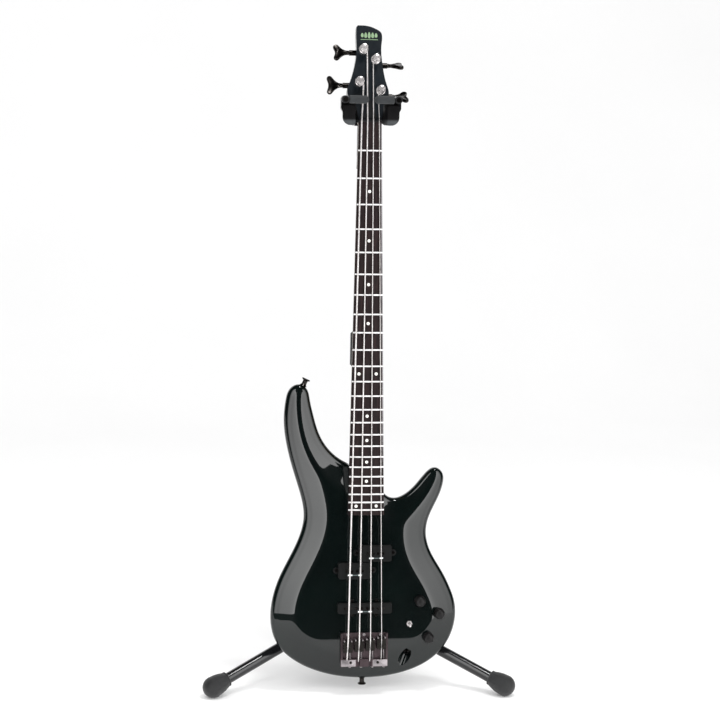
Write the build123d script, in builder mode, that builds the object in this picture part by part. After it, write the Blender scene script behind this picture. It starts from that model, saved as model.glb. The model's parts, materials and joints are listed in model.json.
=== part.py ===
from build123d import *
from math import atan2, cos, hypot, radians, sin
import os

# A four-string bass guitar hanging by its headstock from a tripod stand with a self-closing yoke.
# Millimetres, +Z up, the front faces -Y. The origin is on the floor under the middle of the model.

os.makedirs("parts", exist_ok=True)

# ---------------------------------------------------------------- driving dimensions

# Stand
COLUMN_Y = -69.0            # the column's axis, behind the guitar
FOOT_REACH = 286.0          # column axis to the centre of a foot's round end
FOOT_R = 18.0
FOOT_LENGTH = 29.0          # rubber foot, from its mouth to the middle of its round end
FOOT_MOUTH_R = 13.0
PIVOT_REACH = 33.0          # column axis to a leg's fold pin
PIVOT_Z = 110.0
LEG_R = 9.5
LEG_WALL = 1.5
LEG_AZIMUTHS = {"front_left": 207.5, "front_right": 327.5, "rear": 87.5}
HUB_R = 22.0
HUB_BOTTOM, HUB_TOP = 78.0, 142.0
EAR_GAP, EAR_THICK = 12.4, 5.0
PIN_R = 3.0
LOWER_TUBE_R, LOWER_TUBE_BORE = 12.5, 10.2
LOWER_TUBE_TOP = 575.0
UPPER_TUBE_R, UPPER_TUBE_BORE = 9.5, 8.1
UPPER_TUBE_BOTTOM = 330.0
COLLAR_R, COLLAR_BOTTOM, COLLAR_TOP = 16.5, 545.0, 605.0
CLUTCH_SHAFT_R, CLUTCH_BOSS_R = 4.0, 9.0
CLUTCH_KNOB_R, CLUTCH_KNOB_LONG = 10.5, 18.0
KNOB_SCALLOPS, SCALLOP_AT, SCALLOP_R = 6, 12.3, 3.4
RUNNING_GAP = 0.06          # between a shaft and its bore
REST_Z = 205.0              # height of the pads that the guitar's back leans on
REST_ROOT, REST_BEND, REST_HALF = 15.0, 34.0, 62.0     # across: where the bar starts, bends and ends
REST_ROD_R = 5.0
PAD_R, PAD_INNER, PAD_OUTER = 12.0, 41.0, 68.0

# Guitar
LEAN = 4.0                  # the guitar leans back on the stand, degrees
NUT_Y, NUT_Z = COLUMN_Y - 85.0, 966.7
SCALE = 864.0
FRETS = 24
NUT_WIDTH, END_WIDTH = 38.0, 60.6
BOARD_END = 657.0
BOARD_THICK = 6.0
BOARD_RADIUS = 305.0
BODY_TOP, BODY_BACK = -13.0, -53.0
HEEL_FLOOR = -31.0
HEAD_TILT = 10.0
HEAD_THICK = 14.5
NUT_SPREAD, SADDLE_SPREAD = 29.2, 57.0
STRING_LIFT = 1.4           # underside of a string above the fingerboard at the nut
STRING_R = {"e": 1.33, "a": 1.08, "d": 0.83, "g": 0.57}
SADDLE_S = {"e": 873.0, "a": 871.5, "d": 870.0, "g": 867.5}
POSTS = {"e": (-16.7, 63.3), "a": (-9.5, 118.7), "d": (10.7, 101.8), "g": (18.4, 49.0)}
KEY_START = {"e": -45.0, "a": -33.5, "d": 34.5, "g": 42.5}
KEY_TURN = {"e": 8.0, "a": 26.0, "d": 64.0, "g": 50.0}
WORM_OFFSET = {"e": -1.5, "a": -1.0, "d": -5.0, "g": -5.0}
KNOB_R, KNOB_TALL, KNOB_CLEAR = 9.2, 15.0, 0.6
SHAFT_R, POT_R = 3.0, 8.2
KNOBS = {"volume": (95.2, -806.0), "balance": (128.5, -828.0), "tone": (110.0, -869.0)}
TOGGLE = (77.6, -845.0)
JACK = (69.0, -907.0)
JACK_HEADING, JACK_DIP = 27.0, 31.0

# Yoke, measured from the nut: across, up, out to the front
GATE_X, GATE_Y, GATE_OUT = 44.0, 35.0, 14.5
GATE_R = 6.7
GATE_TIP = 4.6
SLOT_HALF = 25.5
YOKE_HALF = 48.0
ARM_FRONT, ARM_BACK = 13.0, -50.0
ARM_BOTTOM, ARM_TOP = -7.0, 27.9
ARM_CORNERS = (4.0, 14.0, 4.0, 5.0)     # rounding: bottom inner, bottom outer, top outer, top inner
ARM_REAR_HALF = 41.0        # the arms narrow from the yoke's half width to this at the back
BRIDGE_BACK, BRIDGE_HALF = -66.0, 38.0
GUIDE_R = 6.0

UP = Vector(0, sin(radians(LEAN)), cos(radians(LEAN)))
OUT = Vector(0, -cos(radians(LEAN)), sin(radians(LEAN)))
GUITAR = Plane((0, NUT_Y, NUT_Z), x_dir=(1, 0, 0), z_dir=OUT)
YOKE = Plane((0, NUT_Y, NUT_Z), x_dir=(1, 0, 0), z_dir=(0, -1, 0))
COLUMN = Plane((0, COLUMN_Y, 0))
TILT = radians(HEAD_TILT)
HEAD = Plane(
    GUITAR.from_local_coords((0, 3.0, -4.0)),
    x_dir=(1, 0, 0),
    z_dir=OUT * cos(TILT) + UP * sin(TILT),
)

# Marker dots halfway between frets, single and double
SINGLE_DOTS = (3, 5, 7, 9, 15, 17, 19, 21)
DOUBLE_DOTS = {12: 14.5, 24: 17.0}


# ---------------------------------------------------------------- helpers


def save(builder, name):
    """Labels a finished piece and writes it as parts/<name>.step."""
    builder.part.label = name
    export_step(builder.part, f"parts/{name}.step")


def across_neck(y):
    """Plane square to the strings at height y above the nut: sketch x across, sketch y out."""
    return Plane(GUITAR.from_local_coords((0, y, 0)), x_dir=(1, 0, 0), z_dir=UP * -1)


def neck_half_width(y):
    """Half the fingerboard's width at height y (negative towards the body)."""
    return (NUT_WIDTH + (END_WIDTH - NUT_WIDTH) * -y / BOARD_END) / 2


def board_drop(x):
    """How far the rounded fingerboard has fallen at x from its middle."""
    return BOARD_RADIUS - (BOARD_RADIUS**2 - x**2) ** 0.5


def rod(start, end, radius):
    """A round rod between two points, to be added to the part being built."""
    axis = Vector(*end) - Vector(*start)
    return Solid.make_cylinder(radius, axis.length, Plane(start, z_dir=axis))


def fret_y(number):
    """Height of a fret: twelve of them halve the string."""
    return -SCALE * (1 - 2 ** (-number / 12))


def string_x(name, s):
    """How far across a string lies, s millimetres down from the nut."""
    place = list(STRING_R).index(name) - 1.5
    return place * (NUT_SPREAD + (SADDLE_SPREAD - NUT_SPREAD) * s / SADDLE_S["a"]) / 3


def wrap_radius(name):
    """Radius of a string's turns about its post, at the middle of the string."""
    return WAIST_R + 0.05 + STRING_R[name]


def pole_row(label, y):
    """Two pole pieces beside each string that a pickup serves."""
    served = {"pickup_split_treble": "dg", "pickup_split_bass": "ea"}.get(label, "eadg")
    return [(string_x(name, -y) + shift, y) for name in served for shift in (-4.5, 4.5)]


def leg_plane(azimuth):
    """Plane through the column's axis and a leg: sketch x outwards, sketch y up."""
    out = Vector(cos(radians(azimuth)), sin(radians(azimuth)), 0)
    return Plane((0, COLUMN_Y, 0), x_dir=out, z_dir=out.cross(Vector(0, 0, 1)))


# ---------------------------------------------------------------- stand: base

with BuildPart() as base_hub:
    with BuildSketch(COLUMN.offset(HUB_BOTTOM)):
        Circle(HUB_R)
    extrude(amount=HUB_TOP - HUB_BOTTOM)
    chamfer(base_hub.edges().filter_by(GeomType.CIRCLE), 2.0)
    for azimuth in LEG_AZIMUTHS.values():
        side = leg_plane(azimuth)
        for shift in (EAR_GAP / 2, -EAR_GAP / 2 - EAR_THICK):
            with BuildSketch(side.offset(shift)):
                with BuildLine():
                    Polyline((10, 94), (36, 94), (42, 99), (42, 122), (34, 130), (10, 134), (10, 94))
                make_face()
            extrude(amount=EAR_THICK)
    with BuildSketch(COLUMN.offset(HUB_BOTTOM + 8)):
        Circle(LOWER_TUBE_R)
    extrude(amount=HUB_TOP, mode=Mode.SUBTRACT)
    for azimuth in LEG_AZIMUTHS.values():
        with BuildSketch(leg_plane(azimuth).offset(-20)):
            with Locations((PIVOT_REACH, PIVOT_Z)):
                Circle(PIN_R)
        extrude(amount=40, mode=Mode.SUBTRACT)
save(base_hub, "base_hub")

with BuildPart() as leg_pins:
    for azimuth in LEG_AZIMUTHS.values():
        with BuildSketch(leg_plane(azimuth).offset(-EAR_GAP / 2 - EAR_THICK)):
            with Locations((PIVOT_REACH, PIVOT_Z)):
                Circle(PIN_R)
        extrude(amount=EAR_GAP + 2 * EAR_THICK)
        for shift, way in ((EAR_GAP / 2 + EAR_THICK, 1), (-EAR_GAP / 2 - EAR_THICK, -1)):
            with BuildSketch(leg_plane(azimuth).offset(shift)):
                with Locations((PIVOT_REACH, PIVOT_Z)):
                    Circle(PIN_R + 2.2)
            extrude(amount=2.2 * way)
save(leg_pins, "leg_pins")

LEG_SLOPE = atan2(FOOT_R - PIVOT_Z, FOOT_REACH - PIVOT_REACH)
LEG_LENGTH = hypot(FOOT_REACH - PIVOT_REACH, PIVOT_Z - FOOT_R)
KNUCKLE_TAIL, KNUCKLE_NOSE = 7.0, 40.0
TUBE_START = 22.0

for leg, azimuth in LEG_AZIMUTHS.items():
    side = leg_plane(azimuth)
    run = side.x_dir * cos(LEG_SLOPE) + side.y_dir * sin(LEG_SLOPE)
    pivot = side.from_local_coords((PIVOT_REACH, PIVOT_Z, 0))
    square = Plane(pivot, x_dir=side.z_dir, z_dir=run)
    flat = Plane(pivot, x_dir=run, z_dir=side.z_dir)

    with BuildPart() as tube:
        with BuildSketch(flat.offset(-6)):
            with BuildLine():
                Polyline((0, KNUCKLE_TAIL), (TUBE_START, 9), (TUBE_START, -9), (0, -KNUCKLE_TAIL))
                ThreePointArc((0, -KNUCKLE_TAIL), (-KNUCKLE_TAIL, 0), (0, KNUCKLE_TAIL))
            make_face()
        extrude(amount=12)
        with BuildSketch(square.offset(TUBE_START - 4)):
            Circle(LEG_R)
        extrude(amount=4)
        with BuildSketch(square.offset(TUBE_START)):
            Circle(LEG_R - LEG_WALL)
        extrude(amount=KNUCKLE_NOSE - TUBE_START)
        with BuildSketch(flat.offset(-10)):
            Circle(PIN_R + RUNNING_GAP)
        extrude(amount=20, mode=Mode.SUBTRACT)
        with BuildSketch(square.offset(TUBE_START)):
            Circle(LEG_R)
            Circle(LEG_R - LEG_WALL, mode=Mode.SUBTRACT)
        extrude(amount=LEG_LENGTH - TUBE_START - 2)
    save(tube, f"leg_tube_{leg}")

    with BuildPart() as foot:
        with BuildSketch(flat):
            with BuildLine():
                Polyline(
                    (LEG_LENGTH + FOOT_R, 0),
                    (LEG_LENGTH - FOOT_LENGTH, 0),
                    (LEG_LENGTH - FOOT_LENGTH, FOOT_MOUTH_R - 0.8),
                    (LEG_LENGTH - FOOT_LENGTH + 0.8, FOOT_MOUTH_R),
                    (LEG_LENGTH - FOOT_R * 0.6, FOOT_R * 0.97),
                    (LEG_LENGTH, FOOT_R),
                )
                RadiusArc((LEG_LENGTH, FOOT_R), (LEG_LENGTH + FOOT_R, 0), FOOT_R)
            make_face()
        revolve(axis=Axis(pivot, run))
        with BuildSketch(square.offset(LEG_LENGTH - FOOT_LENGTH - 1)):
            Circle(LEG_R)
        extrude(amount=FOOT_LENGTH - 1, mode=Mode.SUBTRACT)
    save(foot, f"leg_foot_{leg}")

# ---------------------------------------------------------------- stand: column

with BuildPart() as lower_tube:
    with BuildSketch(COLUMN.offset(HUB_BOTTOM + 8)):
        Circle(LOWER_TUBE_R)
        Circle(LOWER_TUBE_BORE, mode=Mode.SUBTRACT)
    extrude(amount=LOWER_TUBE_TOP - HUB_BOTTOM - 8)
save(lower_tube, "lower_tube")

KNOB_Z = (LOWER_TUBE_TOP + COLLAR_TOP) / 2
with BuildPart() as clutch_collar:
    with BuildSketch(COLUMN.offset(COLLAR_BOTTOM)):
        Circle(COLLAR_R)
    extrude(amount=COLLAR_TOP - COLLAR_BOTTOM)
    chamfer(clutch_collar.edges().filter_by(GeomType.CIRCLE), 3.0)
    with BuildSketch(Plane((0, COLUMN_Y, KNOB_Z), z_dir=(0, 1, 0))):
        Circle(CLUTCH_BOSS_R)
    extrude(amount=COLLAR_R + 7)
    with BuildSketch(COLUMN.offset(COLLAR_BOTTOM - 1)):
        Circle(LOWER_TUBE_R)
    extrude(amount=LOWER_TUBE_TOP - COLLAR_BOTTOM + 1, mode=Mode.SUBTRACT)
    with BuildSketch(COLUMN.offset(COLLAR_BOTTOM)):
        Circle(UPPER_TUBE_R + RUNNING_GAP)
    extrude(amount=COLLAR_TOP - COLLAR_BOTTOM + 1, mode=Mode.SUBTRACT)
    with BuildSketch(Plane((0, COLUMN_Y, KNOB_Z), z_dir=(0, 1, 0))):
        Circle(CLUTCH_SHAFT_R + RUNNING_GAP)
    extrude(amount=COLLAR_R + 8, mode=Mode.SUBTRACT)
save(clutch_collar, "clutch_collar")

KNOB_FACE = COLLAR_R + 7.4
with BuildPart() as clutch_knob:
    with BuildSketch(Plane((0, COLUMN_Y + KNOB_FACE, KNOB_Z), z_dir=(0, 1, 0))):
        Circle(CLUTCH_KNOB_R)
        with PolarLocations(SCALLOP_AT, KNOB_SCALLOPS):
            Circle(SCALLOP_R, mode=Mode.SUBTRACT)
    extrude(amount=CLUTCH_KNOB_LONG)
    fillet(clutch_knob.faces().sort_by(Axis.Y)[-1].edges(), 1.5)
    with BuildSketch(Plane((0, COLUMN_Y + UPPER_TUBE_R + 0.4, KNOB_Z), z_dir=(0, 1, 0))):
        Circle(CLUTCH_SHAFT_R)
    extrude(amount=KNOB_FACE - UPPER_TUBE_R)
save(clutch_knob, "clutch_knob")

HEAD_BOTTOM = NUT_Z - 82.0          # underside of the yoke head
HEAD_TOP = NUT_Z - 9.0              # the cradle's bridge rests here
HEAD_SECTION = (21.0, 30.0, 8.0)    # width, depth and corner of the yoke head
HEAD_FLARE = 24.0                   # height at which the head reaches that section
HEAD_SOCKET = 18.0                  # how deep the column's tube goes in
with BuildPart() as upper_tube:
    with BuildSketch(COLUMN.offset(UPPER_TUBE_BOTTOM)):
        Circle(UPPER_TUBE_R)
        Circle(UPPER_TUBE_BORE, mode=Mode.SUBTRACT)
    extrude(amount=HEAD_BOTTOM + HEAD_SOCKET - UPPER_TUBE_BOTTOM)
save(upper_tube, "upper_tube")

with BuildPart() as yoke_head:
    with BuildSketch(COLUMN.offset(HEAD_BOTTOM)):
        Circle(UPPER_TUBE_R + 2)
    with BuildSketch(COLUMN.offset(HEAD_BOTTOM + HEAD_FLARE)):
        RectangleRounded(*HEAD_SECTION)
    loft()
    with BuildSketch(COLUMN.offset(HEAD_BOTTOM + HEAD_FLARE)):
        RectangleRounded(*HEAD_SECTION)
    extrude(amount=HEAD_TOP - HEAD_BOTTOM - HEAD_FLARE)
    with BuildSketch(COLUMN.offset(HEAD_BOTTOM)):
        Circle(UPPER_TUBE_R)
    extrude(amount=HEAD_SOCKET, mode=Mode.SUBTRACT)
    with BuildSketch(COLUMN.offset(HEAD_BOTTOM + HEAD_SOCKET + 3)):
        Circle(GUIDE_R + RUNNING_GAP)
    extrude(amount=HEAD_TOP, mode=Mode.SUBTRACT)
save(yoke_head, "yoke_head")

# The bar behind the guitar's back: a clamp on the column, two bent arms and a foam pad on each.
BACK_AT_REST = GUITAR.from_local_coords((0, -(NUT_Z - REST_Z) / cos(radians(LEAN)), BODY_BACK))
PAD_Y = BACK_AT_REST.Y + PAD_R + 1.2
with BuildPart() as rest_bar:
    with BuildSketch(COLUMN.offset(REST_Z - 14)):
        Circle(LOWER_TUBE_R + 6)
        Circle(LOWER_TUBE_R, mode=Mode.SUBTRACT)
    extrude(amount=28)
    for hand in (-1, 1):
        root = (hand * REST_ROOT, COLUMN_Y - 7, REST_Z)
        bend = (hand * REST_BEND, PAD_Y, REST_Z)
        add(rod(root, bend, REST_ROD_R))
        add(rod(bend, (hand * REST_HALF, PAD_Y, REST_Z), REST_ROD_R))
        with Locations(bend):
            Sphere(REST_ROD_R)
save(rest_bar, "rest_bar")

with BuildPart() as rest_pads:
    for hand in (-1, 1):
        with BuildSketch(Plane((hand * PAD_INNER, PAD_Y, REST_Z), z_dir=(hand, 0, 0))):
            Circle(PAD_R)
        extrude(amount=PAD_OUTER - PAD_INNER)
    fillet(rest_pads.edges().filter_by(GeomType.CIRCLE), 3.0)
    for hand in (-1, 1):
        with BuildSketch(Plane((hand * (PAD_INNER - 1), PAD_Y, REST_Z), z_dir=(hand, 0, 0))):
            Circle(REST_ROD_R)
        extrude(amount=REST_HALF - PAD_INNER + 1, mode=Mode.SUBTRACT)
save(rest_pads, "rest_pads")

# ---------------------------------------------------------------- stand: self-closing yoke


def behind_arm(hand, inset):
    """The wedge outside an arm that narrows towards the back, moved inwards by an inset."""
    front, back = NUT_Y - ARM_FRONT, NUT_Y - ARM_BACK
    with BuildPart(mode=Mode.PRIVATE) as wedge:
        with BuildSketch(Plane.XY.offset(NUT_Z + ARM_BOTTOM - 10)):
            Polygon(
                (hand * (YOKE_HALF - inset), front),
                (hand * (ARM_REAR_HALF - inset), back),
                (hand * YOKE_HALF * 2, back),
                (hand * YOKE_HALF * 2, front),
                align=None,
            )
        extrude(amount=ARM_TOP - ARM_BOTTOM + 20)
    return wedge.part


with BuildPart() as cradle_frame:
    with BuildSketch(YOKE.offset(BRIDGE_BACK)):
        with Locations((0, 6)):
            RectangleRounded(2 * BRIDGE_HALF, 22, 8)
    extrude(amount=ARM_BACK - BRIDGE_BACK)
    for hand in (-1, 1):
        with BuildSketch(YOKE.offset(ARM_BACK)):
            with Locations((hand * (SLOT_HALF + YOKE_HALF) / 2, (ARM_BOTTOM + ARM_TOP) / 2 + 2)):
                RectangleRounded(YOKE_HALF - SLOT_HALF - 6, ARM_TOP - ARM_BOTTOM - 6, 5)
        extrude(amount=ARM_FRONT - ARM_BACK - 8)
        add(behind_arm(hand, 3.0), mode=Mode.SUBTRACT)
        with BuildSketch(YOKE.offset(-6)):
            with BuildLine():
                Polyline(
                    (hand * 35, 12), (hand * 46, 12), (hand * 50, 20), (hand * 50, GATE_Y)
                )
                ThreePointArc(
                    (hand * 50, GATE_Y), (hand * GATE_X, GATE_Y + 6), (hand * 38, GATE_Y)
                )
                Polyline((hand * 38, GATE_Y), (hand * 38, 24), (hand * 35, 12))
            make_face()
        extrude(amount=12.6)
    with BuildSketch(Plane((0, COLUMN_Y, HEAD_TOP))):
        with Locations((0, -12)):
            RectangleRounded(40, 48, 8)
    extrude(amount=13)
    with BuildSketch(Plane((0, COLUMN_Y, HEAD_TOP - 26))):
        Circle(GUIDE_R)
    extrude(amount=27)
    for hand in (-1, 1):
        with BuildSketch(YOKE.offset(-7)):
            with Locations((hand * GATE_X, GATE_Y)):
                Circle(2.5)
        extrude(amount=15, mode=Mode.SUBTRACT)
save(cradle_frame, "cradle_frame")

with BuildPart() as arm_foams:
    for hand in (-1, 1):
        with BuildSketch(YOKE.offset(ARM_BACK)):
            with BuildLine():
                FilletPolyline(
                    (hand * SLOT_HALF, ARM_BOTTOM), (hand * YOKE_HALF, ARM_BOTTOM),
                    (hand * YOKE_HALF, ARM_TOP), (hand * SLOT_HALF, ARM_TOP),
                    radius=ARM_CORNERS, close=True,
                )
            make_face()
        extrude(amount=ARM_FRONT - ARM_BACK)
        add(behind_arm(hand, 0.0), mode=Mode.SUBTRACT)
    add(cradle_frame.part, mode=Mode.SUBTRACT)
    for hand in (-1, 1):
        with BuildSketch(YOKE.offset(-6.3)):
            with BuildLine():
                Polyline(
                    (hand * 34, 11), (hand * 70, 11), (hand * 70, 60), (hand * 37, 60),
                    (hand * 37, 24), (hand * 34, 11),
                )
            make_face()
        extrude(amount=13.4, mode=Mode.SUBTRACT)
save(arm_foams, "arm_foams")

for hand, word in ((-1, "left"), (1, "right")):
    with BuildPart() as gate_core:
        with BuildSketch(YOKE.offset(GATE_OUT - 6.9)):
            with Locations((hand * GATE_X, GATE_Y)):
                Circle(6.2)
        extrude(amount=13.8)
        pivot = YOKE.from_local_coords((hand * GATE_X, GATE_Y, GATE_OUT))
        tip = YOKE.from_local_coords((hand * (GATE_TIP + 6), GATE_Y, GATE_OUT))
        add(rod(pivot, tip, 3.0))
        with BuildSketch(YOKE.offset(GATE_OUT - 8)):
            with Locations((hand * GATE_X, GATE_Y)):
                Circle(2.56)
        extrude(amount=16, mode=Mode.SUBTRACT)
    with BuildPart() as gate_foam:
        root = YOKE.from_local_coords((hand * (GATE_X - 6.6), GATE_Y, GATE_OUT))
        tip = YOKE.from_local_coords((hand * (GATE_TIP + GATE_R), GATE_Y, GATE_OUT))
        add(rod(root, tip, GATE_R))
        with Locations(tip):
            Sphere(GATE_R)
        add(gate_core.part, mode=Mode.SUBTRACT)
    gate = Compound(label=f"gate_{word}", children=[gate_core.part.solid(), gate_foam.part.solid()])
    export_step(gate, f"parts/gate_{word}.step")

with BuildPart() as gate_pins:
    for hand in (-1, 1):
        with BuildSketch(YOKE.offset(-6)):
            with Locations((hand * GATE_X, GATE_Y)):
                Circle(2.5)
        extrude(amount=GATE_OUT + 6.9 + 6)
        with BuildSketch(YOKE.offset(GATE_OUT + 7.2)):
            with Locations((hand * GATE_X, GATE_Y)):
                Circle(4.0)
        extrude(amount=1.6)
save(gate_pins, "gate_pins")

SPRING_R, WIRE_R = 4.5, 0.7
SPRING_BOTTOM = HEAD_BOTTOM + 22.0
SPRING_TOP = HEAD_TOP - 27.0
with BuildPart() as yoke_spring:
    with BuildLine() as coil:
        Helix(
            pitch=(SPRING_TOP - SPRING_BOTTOM - 2 * WIRE_R) / 6,
            height=SPRING_TOP - SPRING_BOTTOM - 2 * WIRE_R,
            radius=SPRING_R,
            center=(0, COLUMN_Y, SPRING_BOTTOM + WIRE_R),
        )
    with BuildSketch(coil.line ^ 0):
        Circle(WIRE_R)
    sweep(path=coil.line)
save(yoke_spring, "yoke_spring")

# ---------------------------------------------------------------- guitar: body and neck

# The body's outline on the guitar's face: x across, y up from the nut (so the body is at minus y).
BODY_OUTLINE = (
    (-28.0, -573.0), (-48.5, -561.0), (-63.5, -546.0), (-78.5, -520.0), (-87.5, -490.0),
    (-93.5, -464.0), (-98.5, -446.5), (-111.5, -438.8), (-127.5, -446.5), (-134.5, -466.0),
    (-137.2, -500.0), (-133.2, -536.0), (-120.5, -586.0), (-106.5, -632.0), (-102.2, -664.0),
    (-107.0, -690.0), (-125.0, -731.0), (-145.0, -772.0), (-156.0, -812.0), (-157.2, -842.0),
    (-145.5, -881.0), (-116.5, -909.5), (-81.5, -927.0), (-40.0, -937.8), (0.0, -941.2),
    (41.0, -938.8), (81.0, -929.5), (116.0, -912.5), (144.0, -884.5), (158.0, -850.0),
    (159.0, -816.0), (150.0, -788.0), (136.0, -760.0), (112.8, -719.0), (107.2, -686.0),
    (112.5, -663.0), (125.2, -636.0), (135.3, -608.0), (134.0, -589.0), (121.0, -580.2),
    (105.5, -589.5), (93.0, -604.5), (74.5, -623.0), (54.0, -632.6), (31.5, -621.0),
)
SPLIT_PICKUPS = {"treble": (17.0, -723.0), "bass": (-17.0, -752.6)}
SPLIT_SIZE = (56.0, 28.0)
BRIDGE_PICKUP, BRIDGE_PICKUP_SIZE = (0.5, -816.5), (92.0, 18.5)
CAVITY, CAVITY_SIZE = (104.0, -836.0), (70.0, 84.0)
BATTERY_BOX, BATTERY_SIZE = (-62.0, -850.0), (58.0, 34.0)
POCKET_END = -656.0
NECK_BOLTS = [(x, y) for x in (-19.0, 19.0) for y in (-598.0, -644.0)]
FACE = GUITAR.offset(BODY_TOP)
BACK = GUITAR.offset(BODY_BACK)

# The jack sits in a round pocket sunk at a slant, which leaves a long oval mouth in the top.
heading = GUITAR.x_dir * -sin(radians(JACK_HEADING)) + UP * -cos(radians(JACK_HEADING))
JACK_OUT = heading * cos(radians(JACK_DIP)) + OUT * sin(radians(JACK_DIP))
JACK_MOUTH = GUITAR.from_local_coords((*JACK, BODY_TOP))
JACK_POCKET_R, JACK_POCKET_DEEP = 9.0, 17.0
JACK_FLOOR = Plane(JACK_MOUTH - JACK_OUT * JACK_POCKET_DEEP, z_dir=JACK_OUT)

with BuildPart() as guitar_body:
    with BuildSketch(BACK):
        with BuildLine():
            Spline(*BODY_OUTLINE)
            Line(BODY_OUTLINE[-1], BODY_OUTLINE[0])
        make_face()
    extrude(amount=BODY_TOP - BODY_BACK)
    fillet(guitar_body.edges().group_by(SortBy.LENGTH)[-1], 9.0)
    with BuildSketch(FACE):
        with BuildLine():
            Polyline(
                (-neck_half_width(-560), -560),
                (-neck_half_width(POCKET_END), POCKET_END),
                (neck_half_width(POCKET_END), POCKET_END),
                (neck_half_width(-560), -560),
                close=True,
            )
        make_face()
    extrude(amount=HEEL_FLOOR - BODY_TOP, mode=Mode.SUBTRACT)
    with BuildSketch(FACE):
        for place in SPLIT_PICKUPS.values():
            with Locations(place):
                RectangleRounded(SPLIT_SIZE[0] + 1, SPLIT_SIZE[1] + 1, 5)
                with Locations((-31, 0), (31, 0)):
                    Circle(7)
        with Locations(BRIDGE_PICKUP):
            RectangleRounded(BRIDGE_PICKUP_SIZE[0] + 1, BRIDGE_PICKUP_SIZE[1] + 1, 4)
            with Locations((-20.5, 0), (20.5, 0)):
                Rectangle(7, 31)
    extrude(amount=-18, mode=Mode.SUBTRACT)
    with BuildSketch(BACK):
        with Locations(CAVITY):
            RectangleRounded(*CAVITY_SIZE, 14)
        with Locations(BATTERY_BOX):
            RectangleRounded(*BATTERY_SIZE, 4)
    extrude(amount=28, mode=Mode.SUBTRACT)
    with BuildSketch(BACK):
        with Locations(CAVITY):
            RectangleRounded(CAVITY_SIZE[0] + 8, CAVITY_SIZE[1] + 8, 17)
        with Locations(BATTERY_BOX):
            RectangleRounded(BATTERY_SIZE[0] + 8, BATTERY_SIZE[1] + 6, 6)
    extrude(amount=2.5, mode=Mode.SUBTRACT)
    with BuildSketch(FACE):
        with Locations(*KNOBS.values()):
            Circle(4.0)
        with Locations(TOGGLE):
            Circle(3.3)
    extrude(amount=-14, mode=Mode.SUBTRACT)
    with BuildSketch(BACK):
        with Locations(*NECK_BOLTS):
            Circle(2.6)
    extrude(amount=24, mode=Mode.SUBTRACT)
    with BuildSketch(BACK):
        with Locations(*NECK_BOLTS):
            Circle(7.0)
    extrude(amount=3, mode=Mode.SUBTRACT)
    with BuildSketch(JACK_FLOOR):
        Circle(JACK_POCKET_R)
    extrude(amount=50, mode=Mode.SUBTRACT)
    with BuildSketch(JACK_FLOOR):
        Circle(6.1)
    extrude(amount=-34, mode=Mode.SUBTRACT)
save(guitar_body, "guitar_body")

NECK_SECTIONS = ((2.0, 19.5), (-280.0, 20.8), (-585.0, 22.5))
with BuildPart() as neck:
    for y, thick in NECK_SECTIONS:
        half = neck_half_width(min(y, 0))
        with BuildSketch(across_neck(y)):
            with BuildLine():
                Line((half, -BOARD_THICK), (-half, -BOARD_THICK))
                Spline(
                    (-half, -BOARD_THICK), (0, -thick), (half, -BOARD_THICK),
                    tangents=((0, -1), (0, 1)),
                )
            make_face()
    loft()
    with BuildSketch(GUITAR.offset(-BOARD_THICK)):
        with BuildLine():
            Polyline(
                (-neck_half_width(-574), -574),
                (-neck_half_width(POCKET_END), POCKET_END),
                (neck_half_width(POCKET_END), POCKET_END),
                (neck_half_width(-574), -574),
                close=True,
            )
        make_face()
    extrude(amount=HEEL_FLOOR + BOARD_THICK)
    with BuildSketch(HEAD):
        with BuildLine():
            Polyline((-19.5, -5), (19.5, -5), (21.5, 12), (24.0, 32))
            Spline(
                (24.0, 32), (30.4, 38), (31.8, 45), (27.6, 62), (22.8, 86), (20.2, 108),
                (20.6, 128), (21.8, 140), (20.0, 147.5), (13.0, 152.8), (3.0, 157), (-9, 159),
            )
            Line((-9, 159), (-18.6, 159))
            Line((-18.6, 159), (-21.2, 156.4))
            Spline(
                (-21.2, 156.4), (-21.8, 138), (-21.4, 116), (-23.8, 96), (-27.8, 79), (-32.6, 64),
                (-37.8, 45), (-35.8, 38.5), (-24.5, 33),
            )
            Polyline((-24.5, 33), (-21.5, 12), (-19.5, -5))
        make_face()
    extrude(amount=-HEAD_THICK)
    with BuildSketch(HEAD):
        with Locations(*POSTS.values()):
            Circle(6.2)
    extrude(amount=-HEAD_THICK, mode=Mode.SUBTRACT)
    with BuildSketch(GUITAR.offset(-BOARD_THICK)):
        with Locations((0, -BOARD_END / 2)):
            Rectangle(80, BOARD_END + 4.1)
    extrude(amount=20, mode=Mode.SUBTRACT)
    with BuildSketch(across_neck(1.0)):
        with Locations((0, -11.0)):
            Circle(3.1)
    extrude(amount=620, mode=Mode.SUBTRACT)
    with BuildSketch(GUITAR.offset(HEEL_FLOOR)):
        with Locations(*NECK_BOLTS):
            Circle(2.2)
    extrude(amount=18, mode=Mode.SUBTRACT)
save(neck, "neck")

with BuildPart() as truss_rod:
    with BuildSketch(across_neck(-1.0)):
        with Locations((0, -11.0)):
            Circle(3.0)
    extrude(amount=600)
save(truss_rod, "truss_rod")

DOTS = [(0.0, (fret_y(n) + fret_y(n - 1)) / 2) for n in SINGLE_DOTS]
DOTS += [
    (side * x, (fret_y(n) + fret_y(n - 1)) / 2) for n, x in DOUBLE_DOTS.items() for side in (-1, 1)
]

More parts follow.
